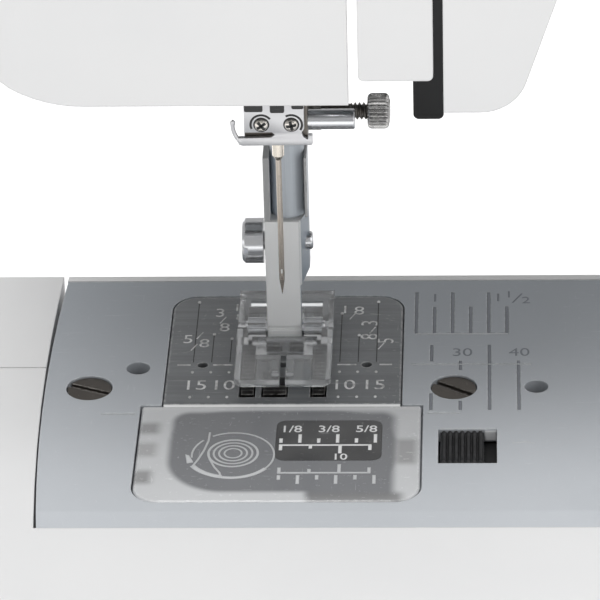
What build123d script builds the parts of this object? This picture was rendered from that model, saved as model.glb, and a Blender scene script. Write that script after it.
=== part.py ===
"""Free-arm sewing machine with a drop-in bobbin, as an assembly of separate pieces.

Everything is drawn from the point where the needle meets the top of the bed: x to the right, y to the
back, z up, in millimetres. save() moves each finished piece so that the frame's origin is the centre of the
machine's footprint, on the surface that it stands on.
"""

import os
from math import atan2, cos, degrees, hypot, sin

from build123d import *

os.makedirs("parts", exist_ok=True)

# ---------------------------------------------------------------- driving dimensions
NEEDLE_X, NEEDLE_Y, BED_HEIGHT = -81.0, 6.0, 73.0  # needle point in the frame of the whole machine
WALL = 2.5  # casing thickness
GAP = 0.3  # clearance between neighbouring pieces
RUN = 0.05  # running clearance of a shaft in its hole, on the radius

ARM_FRONT, ARM_BACK = -38.0, 62.0  # y of the arm's front and back faces
ARM_TOP, COVER_SEAM = 217.0, 198.0  # z of the arm's top, and of the top cover's lower edge
HEAD_LEFT, HEAD_RIGHT = -50.6, 39.6
LIP_LEFT, LIP_RIGHT, LIP_STEP_X = 70.8, 69.4, 20.8  # z of the head's lower edge, left and right of the slots
ARM_UNDERSIDE = 118.0
COLUMN_LEFT, COLUMN_RIGHT = 176.0, 265.0
SHELL_SEAM = 12.0  # y where the front cover meets the rear cover

FRONT, REAR = -89.0, 77.0  # y of the base's front and back
TABLE_LEFT, TABLE_FLOOR = -128.0, -70.0
BASE_FLOOR = -67.0
BED_BACK = 30.6  # y of the free arm's back face
ARM_BOTTOM = -51.0  # z of the free arm's underside
PLATE_RIGHT, PLATE_BACK, PLATE_FRONT = 74.0, 28.8, -50.9
PLATE_THICK, INSERT_THICK, COVER_THICK = 2.5, 2.0, 1.8

BAR_R = 3.2  # needle bar
FOOT_BAR_X, FOOT_BAR_Y, FOOT_BAR_R = 1.05, 8.5, 2.95  # presser bar
SHAFT_Y, SHAFT_Z, SHAFT_R = 2.0, 165.0, 5.0  # main shaft
HOOK_Y = -20.5  # the hook and the bobbin turn about x 0 at this y
LOWER_Y, LOWER_Z, LOWER_R = -5.8, -36.0, 3.0  # lower shaft
SLOT_L = (13.3, 14.9)  # x of the take-up slot in the head's front
SLOT_R = (26.7, 28.3)  # x of the thread slot

PLATE_SCREWS = ((-33.3, -7.5), (29.3, -7.5))
ACCESSORY_HOLES = ((-25.3, -1.0), (43.4, -7.4))
BUTTONS = {"start_button": 52.0, "reverse_button": 70.0, "needle_button": 88.0}  # x of each
BUTTON_Z, BUTTON_R = 132.0, 6.0
WINDER_X, WINDER_Y = 233.0, 34.0
PIVOT_X, PIVOT_Z = 25.2, 88.0  # presser lifter
TAKE_UP_Y, TAKE_UP_Z = 12.0, 150.0  # pivot of the take-up lever
HANDLE_Y, HANDLE_Z, HANDLE_DROP = 71.5, 186.0, 44.0


def save(piece: BuildPart, label: str) -> None:
    """Labels a finished piece, moves it from the needle point to the machine's frame and writes it."""
    placed = piece.part.moved(Location((NEEDLE_X, NEEDLE_Y, BED_HEIGHT)))
    placed.label = label
    export_step(placed, f"parts/{label}.step")


def block(x: tuple, y: tuple, z: tuple, mode: Mode = Mode.ADD) -> None:
    """Adds or cuts a box between two corners, in the part being built."""
    centre = ((x[0] + x[1]) / 2, (y[0] + y[1]) / 2, (z[0] + z[1]) / 2)
    with Locations(centre):
        Box(x[1] - x[0], y[1] - y[0], z[1] - z[0], mode=mode)


def rod(start: tuple, axis: str, length: float, radius: float, mode: Mode = Mode.ADD) -> None:
    """Adds or cuts a cylinder that starts at a point and runs along +x, +y or +z."""
    turns = {"x": (0, 90, 0), "y": (-90, 0, 0), "z": (0, 0, 0)}
    with Locations(Location(start, turns[axis])):
        Cylinder(radius, length, align=(Align.CENTER, Align.CENTER, Align.MIN), mode=mode)


def rounded_rectangle(x: tuple, y: tuple, front_radius: float, back_radius: float) -> None:
    """Sketches a rectangle in plan whose front and back corners have their own radii."""
    with Locations(((x[0] + x[1]) / 2, (y[0] + y[1]) / 2)):
        Rectangle(x[1] - x[0], y[1] - y[0])
    if front_radius:
        fillet(vertices().group_by(Axis.Y)[0], front_radius)
    if back_radius:
        fillet(vertices().group_by(Axis.Y)[-1], back_radius)


def bed_plan(front: float, back: float, right: float, inset: float = 0.0) -> Sketch:
    """Returns the plan of the bed: its left end is a shallow arc, the other sides are straight."""
    with BuildSketch() as plan:
        with BuildLine():
            left = ThreePointArc((-39.8 + inset, back - inset), (-40.9 + inset, -1.8), (-38.9 + inset, front + inset))
            Polyline(left @ 1, (right - inset, front + inset), (right - inset, back - inset), left @ 0)
        make_face()
    return plan.sketch


def link_plan(upper_radius: float, lower_radius: float, run: float) -> Sketch:
    """Returns the area inside a loop round two circles, the lower at the origin, the upper at y = run."""
    lean = atan2(upper_radius - lower_radius, run)
    low = (lower_radius * cos(lean), -lower_radius * sin(lean))
    top = (upper_radius * cos(lean), run - upper_radius * sin(lean))
    with BuildSketch() as loop:
        with BuildLine():
            Polyline((-low[0], low[1]), low, top, (-top[0], top[1]), close=True)
        make_face()
        Circle(lower_radius)
        with Locations((0, run)):
            Circle(upper_radius)
    return loop.sketch


# ---------------------------------------------------------------- free arm and base
FEED_ROD_X, FEED_ROD_Z = 10.0, -16.0
with BuildPart() as free_arm:
    with BuildSketch(Plane.XY.offset(ARM_BOTTOM)):
        add(bed_plan(PLATE_FRONT, BED_BACK, COLUMN_LEFT))
    extrude(amount=-ARM_BOTTOM)
    fillet(free_arm.faces().sort_by(Axis.Z)[0].edges().filter_by(Axis.X), 6)
    with BuildSketch(Plane.XY.offset(ARM_BOTTOM + WALL)):
        add(bed_plan(PLATE_FRONT, BED_BACK, COLUMN_LEFT, inset=WALL))
    extrude(amount=-ARM_BOTTOM - 2 * WALL, mode=Mode.SUBTRACT)
    # the seat of the bed plate, and the opening under it
    block((-60, PLATE_RIGHT + 0.2), (PLATE_FRONT - 2, PLATE_BACK + 0.2), (-PLATE_THICK, 1), Mode.SUBTRACT)
    # ribs that carry the two plate screws
    for x, y in PLATE_SCREWS:
        block((x - 3.5, x + 3.5), (-14, BED_BACK - 1), (-12, -PLATE_THICK))
        rod((x, y, -13), "z", 12, 2.05, Mode.SUBTRACT)
    # posts of the hook race, bearing of the lower shaft, rods that the feed carrier slides on
    for side in (-1, 1):
        rod((side * 23, HOOK_Y, ARM_BOTTOM + 1), "z", -25 - ARM_BOTTOM - 1, 3)
        rod((side * FEED_ROD_X, 12, FEED_ROD_Z), "y", BED_BACK - 13, 2.0)
    block((12, 18), (-14, 2), (ARM_BOTTOM + 1, -28))
    rod((11, LOWER_Y, LOWER_Z), "x", 8, LOWER_R + RUN, Mode.SUBTRACT)
    # the lower shaft's way into the column, and the drop lever's slot in the back wall
    rod((COLUMN_LEFT - 5, LOWER_Y, LOWER_Z), "x", 8, LOWER_R + 2, Mode.SUBTRACT)
    block((99, 121), (BED_BACK - 4, BED_BACK + 1), (-32, -26), Mode.SUBTRACT)
save(free_arm, "free_arm_shell")

BASE_LEFT = COLUMN_LEFT + GAP
SWITCH_X, SWITCH_Y = 258.0, -3.0


def base_plan(inset: float) -> None:
    """Sketches the base's plan, drawn in by inset; the corner beside the table is square."""
    width, depth = COLUMN_RIGHT - BASE_LEFT - 2 * inset, REAR - FRONT - 2 * inset
    with Locations(((BASE_LEFT + COLUMN_RIGHT) / 2, (FRONT + REAR) / 2)):
        Rectangle(width, depth)
    fillet(vertices().group_by(Axis.X)[-1], 10 - inset)
    fillet(vertices().sort_by_distance((BASE_LEFT, REAR))[0], 10 - inset)


with BuildPart() as base:
    with BuildSketch(Plane.XY.offset(BASE_FLOOR)):
        base_plan(0)
    extrude(amount=-BASE_FLOOR)
    chamfer(base.faces().sort_by(Axis.Z)[-1].edges(), 1.0)
    with BuildSketch(Plane.XY.offset(BASE_FLOOR + WALL)):
        base_plan(WALL)
    extrude(amount=-BASE_FLOOR - 2 * WALL, mode=Mode.SUBTRACT)
    # the bottom tray that reaches under the free arm and keeps the machine upright
    block((-10, BASE_LEFT + 1), (-46, 26), (BASE_FLOOR, BASE_FLOOR + 9))
    block((-7, BASE_LEFT - 3), (-43, 23), (BASE_FLOOR + 2.5, BASE_FLOOR + 6.5), Mode.SUBTRACT)
    block((-10, 40), (-20, 0), (BASE_FLOOR + 8, ARM_BOTTOM - GAP))
    # the open top under the column, and the lower shaft's way in
    block((COLUMN_LEFT + 6, COLUMN_RIGHT - 6), (ARM_FRONT + 6, ARM_BACK - 6), (-WALL - 1, 1), Mode.SUBTRACT)
    rod((BASE_LEFT - 1, LOWER_Y, LOWER_Z), "x", 5, LOWER_R + 2, Mode.SUBTRACT)
    # seats of the power inlet and the power switch in the right side
    block((COLUMN_RIGHT - 5, COLUMN_RIGHT + 1), (20, 46), (-56, -34), Mode.SUBTRACT)
    block((COLUMN_RIGHT - 5, COLUMN_RIGHT + 1), (SWITCH_Y - 9.9, SWITCH_Y + 9.9), (-52, -38), Mode.SUBTRACT)
    for low in (-56.5, -37.6):
        block((254.5, COLUMN_RIGHT - 1), (SWITCH_Y - 4, SWITCH_Y + 4), (low, low + 4.1))
    rod((SWITCH_X, SWITCH_Y, -57), "z", 25, 1.5 + RUN, Mode.SUBTRACT)
save(base, "base_shell")

FOOT_X = (COLUMN_LEFT + 14, COLUMN_RIGHT - 14)
with BuildPart() as feet:
    for x, y in ((0, -36), (0, 16), (FOOT_X[0], -74), (FOOT_X[0], 62), (FOOT_X[1], -74), (FOOT_X[1], 62)):
        with Locations((x, y, -BED_HEIGHT)):
            Cone(6, 7, BED_HEIGHT + BASE_FLOOR, align=(Align.CENTER, Align.CENTER, Align.MIN))
save(feet, "rubber_feet")

# ---------------------------------------------------------------- bed plate, needle plate and their screws
INCH_TICKS = [22.625 + 3.175 * i for i in range(6)]
GROOVE, DEPTH = 0.28, 0.18
with BuildPart() as bed_plate:
    with BuildSketch(Plane.XY.offset(-PLATE_THICK)):
        add(bed_plan(PLATE_FRONT, PLATE_BACK, PLATE_RIGHT))
    extrude(amount=PLATE_THICK)
    # seat and window of the needle plate
    with BuildSketch(Plane.XY.offset(-INSERT_THICK)):
        rounded_rectangle((-20.5, 20.5), (-13.3, 23.5), 0, 4.6)
    extrude(amount=INSERT_THICK + 1, mode=Mode.SUBTRACT)
    block((-17.5, 17.5), (-13.5, 20.5), (-3, 0), Mode.SUBTRACT)
    # seat and window of the bobbin cover
    with BuildSketch(Plane.XY.offset(-COVER_THICK - GAP)):
        rounded_rectangle((-23.8 - GAP, 23.8 + GAP), (-43.4 - GAP, -13.2), 4.7, 0)
    extrude(amount=COVER_THICK + GAP + 1, mode=Mode.SUBTRACT)
    with BuildSketch(Plane.XY.offset(-3)):
        rounded_rectangle((-20.4, 20.4), (-41.4, -13.3), 16, 0)
    extrude(amount=4, mode=Mode.SUBTRACT)
    block((26.75, 36.6), (-31.8, -21.1), (-3, 1), Mode.SUBTRACT)  # the latch's slot
    for x, y in PLATE_SCREWS:
        rod((x, y, -1.5), "z", 2, 4.0, Mode.SUBTRACT)
        rod((x, y, -3), "z", 3, 2.2, Mode.SUBTRACT)
    for x, y in ACCESSORY_HOLES:
        rod((x, y, -3), "z", 4, 2.05, Mode.SUBTRACT)
    # engraved seam guides: inches at the back, millimetres across the needle line
    for i, x in enumerate(INCH_TICKS):
        block((x - GROOVE, x + GROOVE), (10.4, 24.6 if i % 2 == 0 else 19.6), (-DEPTH, 1), Mode.SUBTRACT)
    block((22.6, 38.6), (10.1, 10.6), (-DEPTH, 1), Mode.SUBTRACT)
    for x, low, high in ((25.4, 1.0, 6.5), (25.4, -15.0, -9.5), (30.4, -2.0, 1.2), (30.4, -15.0, -12.0),
                         (35.4, -15.0, 6.5), (40.4, -15.0, 1.2)):
        block((x - GROOVE, x + GROOVE), (low, high), (-DEPTH, 1), Mode.SUBTRACT)
    block((22.0, 42.6), (-0.2, 0.3), (-DEPTH, 1), Mode.SUBTRACT)
    for low, high in ((-30.6, -24.9), (24.9, 30.4)):  # cornering guides, five eighths in front of the needle
        block((low, high), (-16.15, -15.65), (-DEPTH, 1), Mode.SUBTRACT)
    # the faint bevel along the front edge
    with BuildSketch(Plane.YZ.offset(-60)):
        with BuildLine():
            Polyline((PLATE_FRONT - 1, 1), (PLATE_FRONT - 1, -0.7), (PLATE_FRONT, -0.7), (PLATE_FRONT + 4.6, 0),
                     (PLATE_FRONT + 4.6, 1), close=True)
        make_face()
    extrude(amount=150, mode=Mode.SUBTRACT)
save(bed_plate, "bed_plate")

FEED_SLOTS = ((-7.5, -4.7, -10.7, 13.7), (4.7, 7.5, -10.7, 13.7), (-3.7, 0.9, -10.7, -4.0),
              (-3.7, -0.6, 4.0, 12.5), (0.6, 3.7, 4.0, 12.5))
with BuildPart() as needle_plate:
    with BuildSketch(Plane.XY.offset(-INSERT_THICK)):
        rounded_rectangle((-20.35, 20.35), (-13.1, 23.35), 0.4, 4.5)
    extrude(amount=INSERT_THICK)
    chamfer(needle_plate.faces().sort_by(Axis.Z)[-1].edges(), 0.25)
    for left, right, front, back in FEED_SLOTS:
        block((left, right), (front, back), (-3, 1), Mode.SUBTRACT)
    with BuildSketch(Plane.XY.offset(-3)):
        SlotOverall(9.0, 1.8)
    extrude(amount=4, mode=Mode.SUBTRACT)
    for x in (-14.2, 14.2):
        rod((x, 0, -3), "z", 4, 0.9, Mode.SUBTRACT)
save(needle_plate, "needle_plate")

with BuildPart() as plate_screws:
    for (x, y), turn in zip(PLATE_SCREWS, (-23, -34)):
        rod((x, y, -1.5), "z", 1.2, 3.8)
        rod((x, y, -11), "z", 10, 1.95)
        with Locations(Location((x, y, -0.3), (0, 0, turn))):
            Box(8, 1.1, 1.4, mode=Mode.SUBTRACT)
save(plate_screws, "plate_screws")

# ---------------------------------------------------------------- bobbin cover and its latch
with BuildPart() as bobbin_cover:
    with BuildSketch(Plane.XY.offset(-COVER_THICK)):
        rounded_rectangle((-23.8, 23.8), (-43.4, -13.5), 4.5, 0.4)
    extrude(amount=COVER_THICK)
    chamfer(bobbin_cover.faces().sort_by(Axis.Z)[-1].edges(), 0.3)
    # locating ribs under the plate
    block((-19.8, 19.8), (-15.6, -14.2), (-2.6, -1.5))
    block((-8, 8), (-40.4, -39.2), (-2.6, -1.5))
save(bobbin_cover, "bobbin_cover")

with BuildPart() as latch:
    block((27.1, 34.4), (-31.5, -21.4), (-3.1, -0.5))
    for i in range(7):
        rod((27.7 + i * 1.02, -31.5, -0.5), "y", 10.1, 0.36)
    block((25.2, 37.8), (-33.6, -19.4), (-4.2, -2.85))
save(latch, "cover_latch")

# ---------------------------------------------------------------- hook, bobbin and feed
with BuildPart() as race:
    rod((0, HOOK_Y, -25), "z", 13, 19.6)
    rod((0, HOOK_Y, -23.5), "z", 12, 17.6, Mode.SUBTRACT)
    rod((0, HOOK_Y, -26), "z", 5, 3.0 + RUN, Mode.SUBTRACT)
    for side in (-1, 1):  # mounting ears
        centre = side * 22.5
        block((centre - 3.5, centre + 3.5), (HOOK_Y - 5, HOOK_Y + 5), (-25, -22.5))
    rod((0, HOOK_Y, -23.5), "z", 12, 17.6, Mode.SUBTRACT)
save(race, "hook_race")

with BuildPart() as hook:
    rod((0, HOOK_Y, -23.2), "z", 10.5, 17.3)
    rod((0, HOOK_Y, -22.0), "z", 10, 16.4, Mode.SUBTRACT)
    block((-6, 6), (HOOK_Y + 14, HOOK_Y + 18), (-17, -12), Mode.SUBTRACT)  # the hook's throat
    rod((0, HOOK_Y, -41), "z", 18.5, 3.0)
    rod((0, HOOK_Y, -40.6), "z", 9.2, 4.6)
    with Locations(Location((0, HOOK_Y, -36))):
        with PolarLocations(4.6, 8):
            Box(1.0, 0.7, 9.2, mode=Mode.SUBTRACT)
save(hook, "rotary_hook")

with BuildPart() as holder:
    rod((0, HOOK_Y, -21.7), "z", 13.1, 16.0)
    fillet(holder.faces().sort_by(Axis.Z)[-1].edges(), 1.2)
    rod((0, HOOK_Y, -20.6), "z", 15, 11.0, Mode.SUBTRACT)
    rod((0, HOOK_Y, -21.0), "z", 11.4, 2.6)
    block((-2, 2), (HOOK_Y - 17, HOOK_Y - 12), (-12, -5), Mode.SUBTRACT)  # tension notch
save(holder, "bobbin_holder")

with BuildPart() as bobbin:
    rod((0, HOOK_Y, -20.2), "z", 1.0, 10.4)
    rod((0, HOOK_Y, -20.2), "z", 11.2, 4.2)
    rod((0, HOOK_Y, -10.0), "z", 1.0, 10.4)
    rod((0, HOOK_Y, -21), "z", 13, 2.65, Mode.SUBTRACT)
    with Locations(Location((0, HOOK_Y, -15))):
        with PolarLocations(7.2, 4, start_angle=45):
            Cylinder(1.3, 14, mode=Mode.SUBTRACT)
save(bobbin, "bobbin")

TOOTH = 1.2
with BuildPart() as feed_dog:
    for left, right, front, back in ((-7.2, -5.0, -8.8, 11.8), (5.0, 7.2, -8.8, 11.8), (-3.4, 0.6, -8.8, -5.9),
                                     (-3.4, -0.9, 5.9, 10.6), (0.9, 3.4, 5.9, 10.6)):
        block((left, right), (front, back), (-3.1, -0.6))
        for i in range(int((back - front) / TOOTH)):
            y = front + TOOTH * i
            with BuildSketch(Plane.YZ.offset(left)):
                with BuildLine():
                    Polyline((y, -0.65), (y + 1.15, -0.65), (y + 0.85, -0.2), (y + 0.7, -0.2), close=True)
                make_face()
            extrude(amount=right - left)
    block((-3.4, -0.9), (-8.8, 11.8), (-4.8, -3.05))
    block((-7.2, 7.2), (7.0, 11.8), (-4.8, -3.05))
    block((-7.2, 7.2), (-6.6, -5.4), (-4.8, -3.05))
    for x in (-5.5, 5.5):
        rod((x, 9.5, -15), "z", 11, 1.2)
save(feed_dog, "feed_dog")

with BuildPart() as carrier:
    block((-12.5, 12.5), (5, 24), (-12.2, -9.2))
    for x in (-5.5, 5.5):
        rod((x, 9.5, -13), "z", 5, 1.2 + RUN, Mode.SUBTRACT)
    for side in (-1, 1):
        centre = side * FEED_ROD_X
        block((centre - 2.5, centre + 2.5), (15, 24), (-20, -12))
        rod((centre, 14, FEED_ROD_Z), "y", 12, 2.0 + RUN, Mode.SUBTRACT)
        block((centre - 2.5, centre + 2.5), (4, 14.99), (-14, -12.2), Mode.SUBTRACT)
save(carrier, "feed_carrier")

with BuildPart() as lower_shaft:
    rod((-9, LOWER_Y, LOWER_Z), "x", 236, LOWER_R)
    rod((-7, LOWER_Y, LOWER_Z), "x", 14, 9.5)
    with Locations(Location((0, LOWER_Y, LOWER_Z), (0, 90, 0))):
        with PolarLocations(9.5, 16):
            Box(1.2, 0.9, 15, mode=Mode.SUBTRACT)
    rod((214, LOWER_Y, LOWER_Z), "x", 8, 11)
save(lower_shaft, "lower_shaft")

# ---------------------------------------------------------------- needle bar and what it carries
with BuildPart() as needle_bar:
    rod((0, 0, 46), "z", 146, BAR_R)
    fillet(needle_bar.faces().sort_by(Axis.Z)[-1].edges(), 0.8)
    rod((0, 0, 45), "z", 8, 1.05, Mode.SUBTRACT)
    rod((0, 0.8, 49.0), "x", 6, 1.5, Mode.SUBTRACT)
    block((-6, 6), (-4.6, 2.2), (130, 140))
save(needle_bar, "needle_bar")

CLAMP_LOW, CLAMP_HIGH = 45.6, 55.0
with BuildPart() as clamp:
    rod((0, 0, CLAMP_LOW), "z", CLAMP_HIGH - CLAMP_LOW, 4.1)
    block((-5.3, 5.3), (-4.55, -1.4), (46.2, CLAMP_HIGH))
    rod((3, -2.6, 49.5), "x", 10.1, 1.6)
    block((3, 7.4), (-1.6, 2.6), (46.9, 51.2))
    rod((0, 0, CLAMP_LOW - 1), "z", 12, BAR_R, Mode.SUBTRACT)
    rod((1, 0.8, 49.0), "x", 10, 1.5, Mode.SUBTRACT)
    for x in (-2.6, 2.4):
        rod((x, -5, 49.8), "y", 1.4, 0.8, Mode.SUBTRACT)
save(clamp, "needle_clamp")

with BuildPart() as clamp_screw:
    rod((4.0, 0.8, 49.0), "x", 11.6, 1.25)
    for i in range(9):
        with Locations(Location((7.6 + 0.85 * i, 0.8, 49.0), (0, 90, 0))):
            Cone(1.25, 1.44, 0.35, align=(Align.CENTER, Align.CENTER, Align.MIN))
    rod((15.4, 0.8, 49.0), "x", 3.7, 3.0)
    chamfer(clamp_screw.faces().sort_by(Axis.X)[-1].edges(), 0.5)
    with Locations(Location((17.3, 0.8, 49.0), (0, 90, 0))):
        with PolarLocations(3.05, 24):
            Cylinder(0.22, 4.2, mode=Mode.SUBTRACT)
save(clamp_screw, "needle_clamp_screw")

with BuildPart() as needle:
    rod((0, 0, 41.4), "z", 11.1, 1.02)
    with Locations((0, 0, 40.5)):
        Cone(0.48, 1.02, 0.9, align=(Align.CENTER, Align.CENTER, Align.MIN))
    rod((0, 0, 17.2), "z", 23.3, 0.48)
    with Locations((0, 0, 14.3)):
        Cone(0.05, 0.48, 2.9, align=(Align.CENTER, Align.CENTER, Align.MIN))
    block((-0.16, 0.16), (-1, 1), (18.0, 19.3), Mode.SUBTRACT)
    block((-0.13, 0.13), (-1, -0.34), (19.3, 37.5), Mode.SUBTRACT)
save(needle, "needle")

with BuildPart() as threader_plate:
    with BuildSketch(Plane.XZ.offset(4.6)):
        with BuildLine():
            Polyline((-5.3, 48.7), (-5.3, 55.0), (4.4, 55.0), (4.4, 48.6), (5.7, 48.2), (6.1, 46.2), (-6.6, 46.0),
                     (-7.4, 46.9), (-7.2, 47.6), (-0.6, 47.6), (0.0, 48.15), (-0.6, 48.7), close=True)
        make_face()
        with Locations((-3.7, 53.6)):
            Rectangle(2.9, 1.4, mode=Mode.SUBTRACT)
        with Locations((-0.3, 53.6)):
            Rectangle(2.6, 1.5, mode=Mode.SUBTRACT)
        for x in (-2.6, 2.4):
            with Locations((x, 49.8)):
                Circle(0.8, mode=Mode.SUBTRACT)
    extrude(amount=0.8)
    # the guide arm that curls up at the left, and the small catch at the right
    with BuildSketch(Plane.XZ.offset(4.6)):
        with BuildLine():
            outer_curve = Spline((-6.9, 46.1), (-7.7, 48.2), (-8.5, 50.6))
            inner_curve = Spline((-7.9, 50.8), (-7.1, 48.6), (-6.2, 46.9))
            Line(outer_curve @ 1, inner_curve @ 0)
            Line(inner_curve @ 1, outer_curve @ 0)
        make_face()
    extrude(amount=1.2)
    block((5.2, 5.9), (-5.8, -4.6), (46.4, 49.0))
save(threader_plate, "threader_plate")

with BuildPart() as threader_screws:
    for x in (-2.6, 2.4):
        rod((x, -6.3, 49.8), "y", 0.9, 1.25)
        rod((x, -5.5, 49.8), "y", 1.8, 0.78)
        block((x - 0.9, x + 0.9), (-6.5, -5.8), (49.65, 49.95), Mode.SUBTRACT)
        block((x - 0.15, x + 0.15), (-6.5, -5.8), (48.9, 50.7), Mode.SUBTRACT)
save(threader_screws, "threader_screws")

# ---------------------------------------------------------------- presser bar, ankle and foot
with BuildPart() as presser_bar:
    rod((FOOT_BAR_X, FOOT_BAR_Y, 24), "z", 166, FOOT_BAR_R)
    chamfer(presser_bar.faces().sort_by(Axis.Z)[0].edges(), 0.4)
    rod((FOOT_BAR_X, FOOT_BAR_Y, 118), "z", 8, 5.0)
    block((2, 27), (11.2, 14.6), (96.6, 101))  # the arm that the lifter raises
save(presser_bar, "presser_bar")

SCREW_Z, PIN_Y, PIN_Z = 20.0, 6.3, 4.0
with BuildPart() as ankle:
    with BuildSketch(Plane.XZ.offset(-12.8)):
        with BuildLine():
            Polyline((-3.0, 2.4), (2.9, 2.4), (2.9, 13.0), (4.45, 14.55), (4.45, 38.0), (-3.0, 38.0), close=True)
        make_face()
    extrude(amount=7.9)
    fillet(ankle.edges().filter_by(Axis.Z).group_by(Axis.Y)[-1], 1.0)
    with BuildSketch(Plane.XY.offset(13)):  # the right side slopes away from the narrow front face
        with BuildLine():
            Polyline((2.9, 4.0), (6.0, 4.0), (6.0, 8.6), (4.46, 8.6), close=True)
        make_face()
    extrude(amount=13.5, mode=Mode.SUBTRACT)
    block((-3.0, 2.9), (4.5, 8.0), (2.4, 25.9))
    block((-4, 4), (7.8, 14), (1, 11.5), Mode.SUBTRACT)  # the leg is thin below the screw
    rod((FOOT_BAR_X, FOOT_BAR_Y, 24), "z", 20, FOOT_BAR_R, Mode.SUBTRACT)
    block((-1.9, 4.0), (3, FOOT_BAR_Y), (26, 40), Mode.SUBTRACT)
    rod((-4, FOOT_BAR_Y, SCREW_Z), "x", 12, 1.65, Mode.SUBTRACT)
    block((-4, 4), (4, 4.9), (4.35, 4.95), Mode.SUBTRACT)  # the step above the foot's catch
    rod((-4, PIN_Y, PIN_Z), "x", 8, 1.0 + RUN, Mode.SUBTRACT)
save(ankle, "foot_ankle")

with BuildPart() as ankle_screw:
    rod((-7.0, FOOT_BAR_Y, SCREW_Z), "x", 3.7, 3.95)
    chamfer(ankle_screw.edges().filter_by(GeomType.CIRCLE).sort_by(Axis.X)[0], 0.5)
    block((-7.5, -6.0), (3, 14), (SCREW_Z - 0.55, SCREW_Z + 0.55), Mode.SUBTRACT)
    rod((-3.4, FOOT_BAR_Y, SCREW_Z), "x", 8.6, 1.6)
    fillet(ankle_screw.edges().filter_by(GeomType.CIRCLE).sort_by(Axis.X)[-1], 0.6)
save(ankle_screw, "ankle_screw")

SOLE, FOOT_W = 0.95, 8.3
with BuildPart() as foot:
    with BuildSketch(Plane.XY.offset(SOLE)):
        rounded_rectangle((-FOOT_W, FOOT_W), (-9.9, 19.6), 1.0, 1.5)
    extrude(amount=2.0)
    chamfer(foot.faces().sort_by(Axis.Z)[0].edges().sort_by(Axis.Y)[0], 1.0)
    block((-FOOT_W, FOOT_W), (14.8, 17.6), (2.6, 4.6))  # the back rail
    for side in (-1, 1):
        inner, outer = sorted((side * 6.3, side * FOOT_W))
        block((inner, outer), (2.0, 17.0), (2.6, 4.4))
        inner, outer = sorted((side * 3.3, side * 6.4))
        block((inner, outer), (3.4, 9.4), (2.6, 6.0))  # the ears that hold the pin
        inner, outer = sorted((side * 0.6, side * 1.9))
        block((inner, outer), (-8.6, -4.2), (2.6, 3.9))  # the raised lips beside the toe slot
    block((-5.6, 5.6), (1.7, 3.2), (2.6, 3.8))  # bridge behind the needle
    block((-4.9, 4.9), (-1.5, 1.5), (0, 5), Mode.SUBTRACT)  # needle opening
    block((-0.5, 0.5), (-12, -1), (0, 5), Mode.SUBTRACT)  # toe slot
    block((-3.3, 3.3), (3.6, 13.4), (0, 7), Mode.SUBTRACT)  # room for the ankle
    rod((-9, PIN_Y, PIN_Z), "x", 18, 1.0, Mode.SUBTRACT)
save(foot, "presser_foot")

with BuildPart() as foot_pin:
    rod((-6.9, PIN_Y, PIN_Z), "x", 13.8, 1.0)
save(foot_pin, "foot_pin")

with BuildPart() as lifter:
    with BuildSketch(Plane.XZ.offset(-12)):
        with Locations((PIVOT_X, 66.8)):
            RectangleRounded(5.2, 50.4, 1.0)
        with Locations((PIVOT_X, PIVOT_Z)):
            Circle(5.0)
            Circle(2.0, mode=Mode.SUBTRACT)
    extrude(amount=-12)
save(lifter, "presser_lifter")


# ---------------------------------------------------------------- the upper casing
def silhouette(grow: float) -> Sketch:
    """Returns the front view of the head, arm and column, drawn in by -grow on every side."""
    left, right, top = HEAD_LEFT - grow, COLUMN_RIGHT + grow, ARM_TOP + grow
    low_left, low_right, head_right = LIP_LEFT - grow, LIP_RIGHT - grow, HEAD_RIGHT + grow
    throat, shoulder, lean = ARM_UNDERSIDE - grow, COLUMN_LEFT - grow, 16.0
    with BuildSketch() as view:
        with BuildLine():
            Polyline((left, top), (left, low_left), (LIP_STEP_X, low_left), (LIP_STEP_X, low_right),
                     (head_right, low_right), (head_right + lean, throat), (shoulder, throat), (shoulder, -6),
                     (right, -6), (right, top), close=True)
        make_face()
        for corner, radius in (((left, low_left), 22.0), ((head_right, low_right), 7.5),
                               ((head_right + lean, throat), 16.0), ((shoulder, throat), 20.0)):
            fillet(vertices().sort_by_distance(corner)[0], radius + grow)
    return view.sketch


def casing_solid(inset: float, low: float, high: float, top_radius: float, open_below: bool) -> Part:
    """Returns the casing's solid: its rounded plan, cut to the shape of its front view."""
    with BuildPart() as solid:
        with BuildSketch(Plane.XY.offset(low)):
            rounded_rectangle((HEAD_LEFT + inset, COLUMN_RIGHT - inset), (ARM_FRONT + inset, ARM_BACK - inset),
                              12 - inset, 16 - inset)
        extrude(amount=high - low)
        fillet(solid.faces().sort_by(Axis.Z)[-1].edges(), top_radius)
    with BuildPart() as view:
        with BuildSketch(Plane.XZ.offset(-ARM_BACK - 20)):
            add(silhouette(-inset))
        extrude(amount=ARM_BACK - ARM_FRONT + 40)
        if open_below:
            block((HEAD_LEFT + 12, HEAD_RIGHT - 3), (ARM_FRONT - 9, ARM_BACK + 9), (60, 90))
    return solid.part & view.part


casing = casing_solid(0, 0, ARM_TOP, 10, False) - casing_solid(WALL, -5, ARM_TOP - WALL, 8, True)
SCREW_POINTS = ((-36, 104), (-36, 186), (110, 186), (250, 186), (250, 14))
FACE_FRONT, FACE_BACK, FACE_LOW, FACE_HIGH = ARM_FRONT + 14, ARM_BACK - 18, 98.0, 190.0
PANEL_X, PANEL_Z = (118.0, 252.0), (128.0, 190.0)


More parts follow.
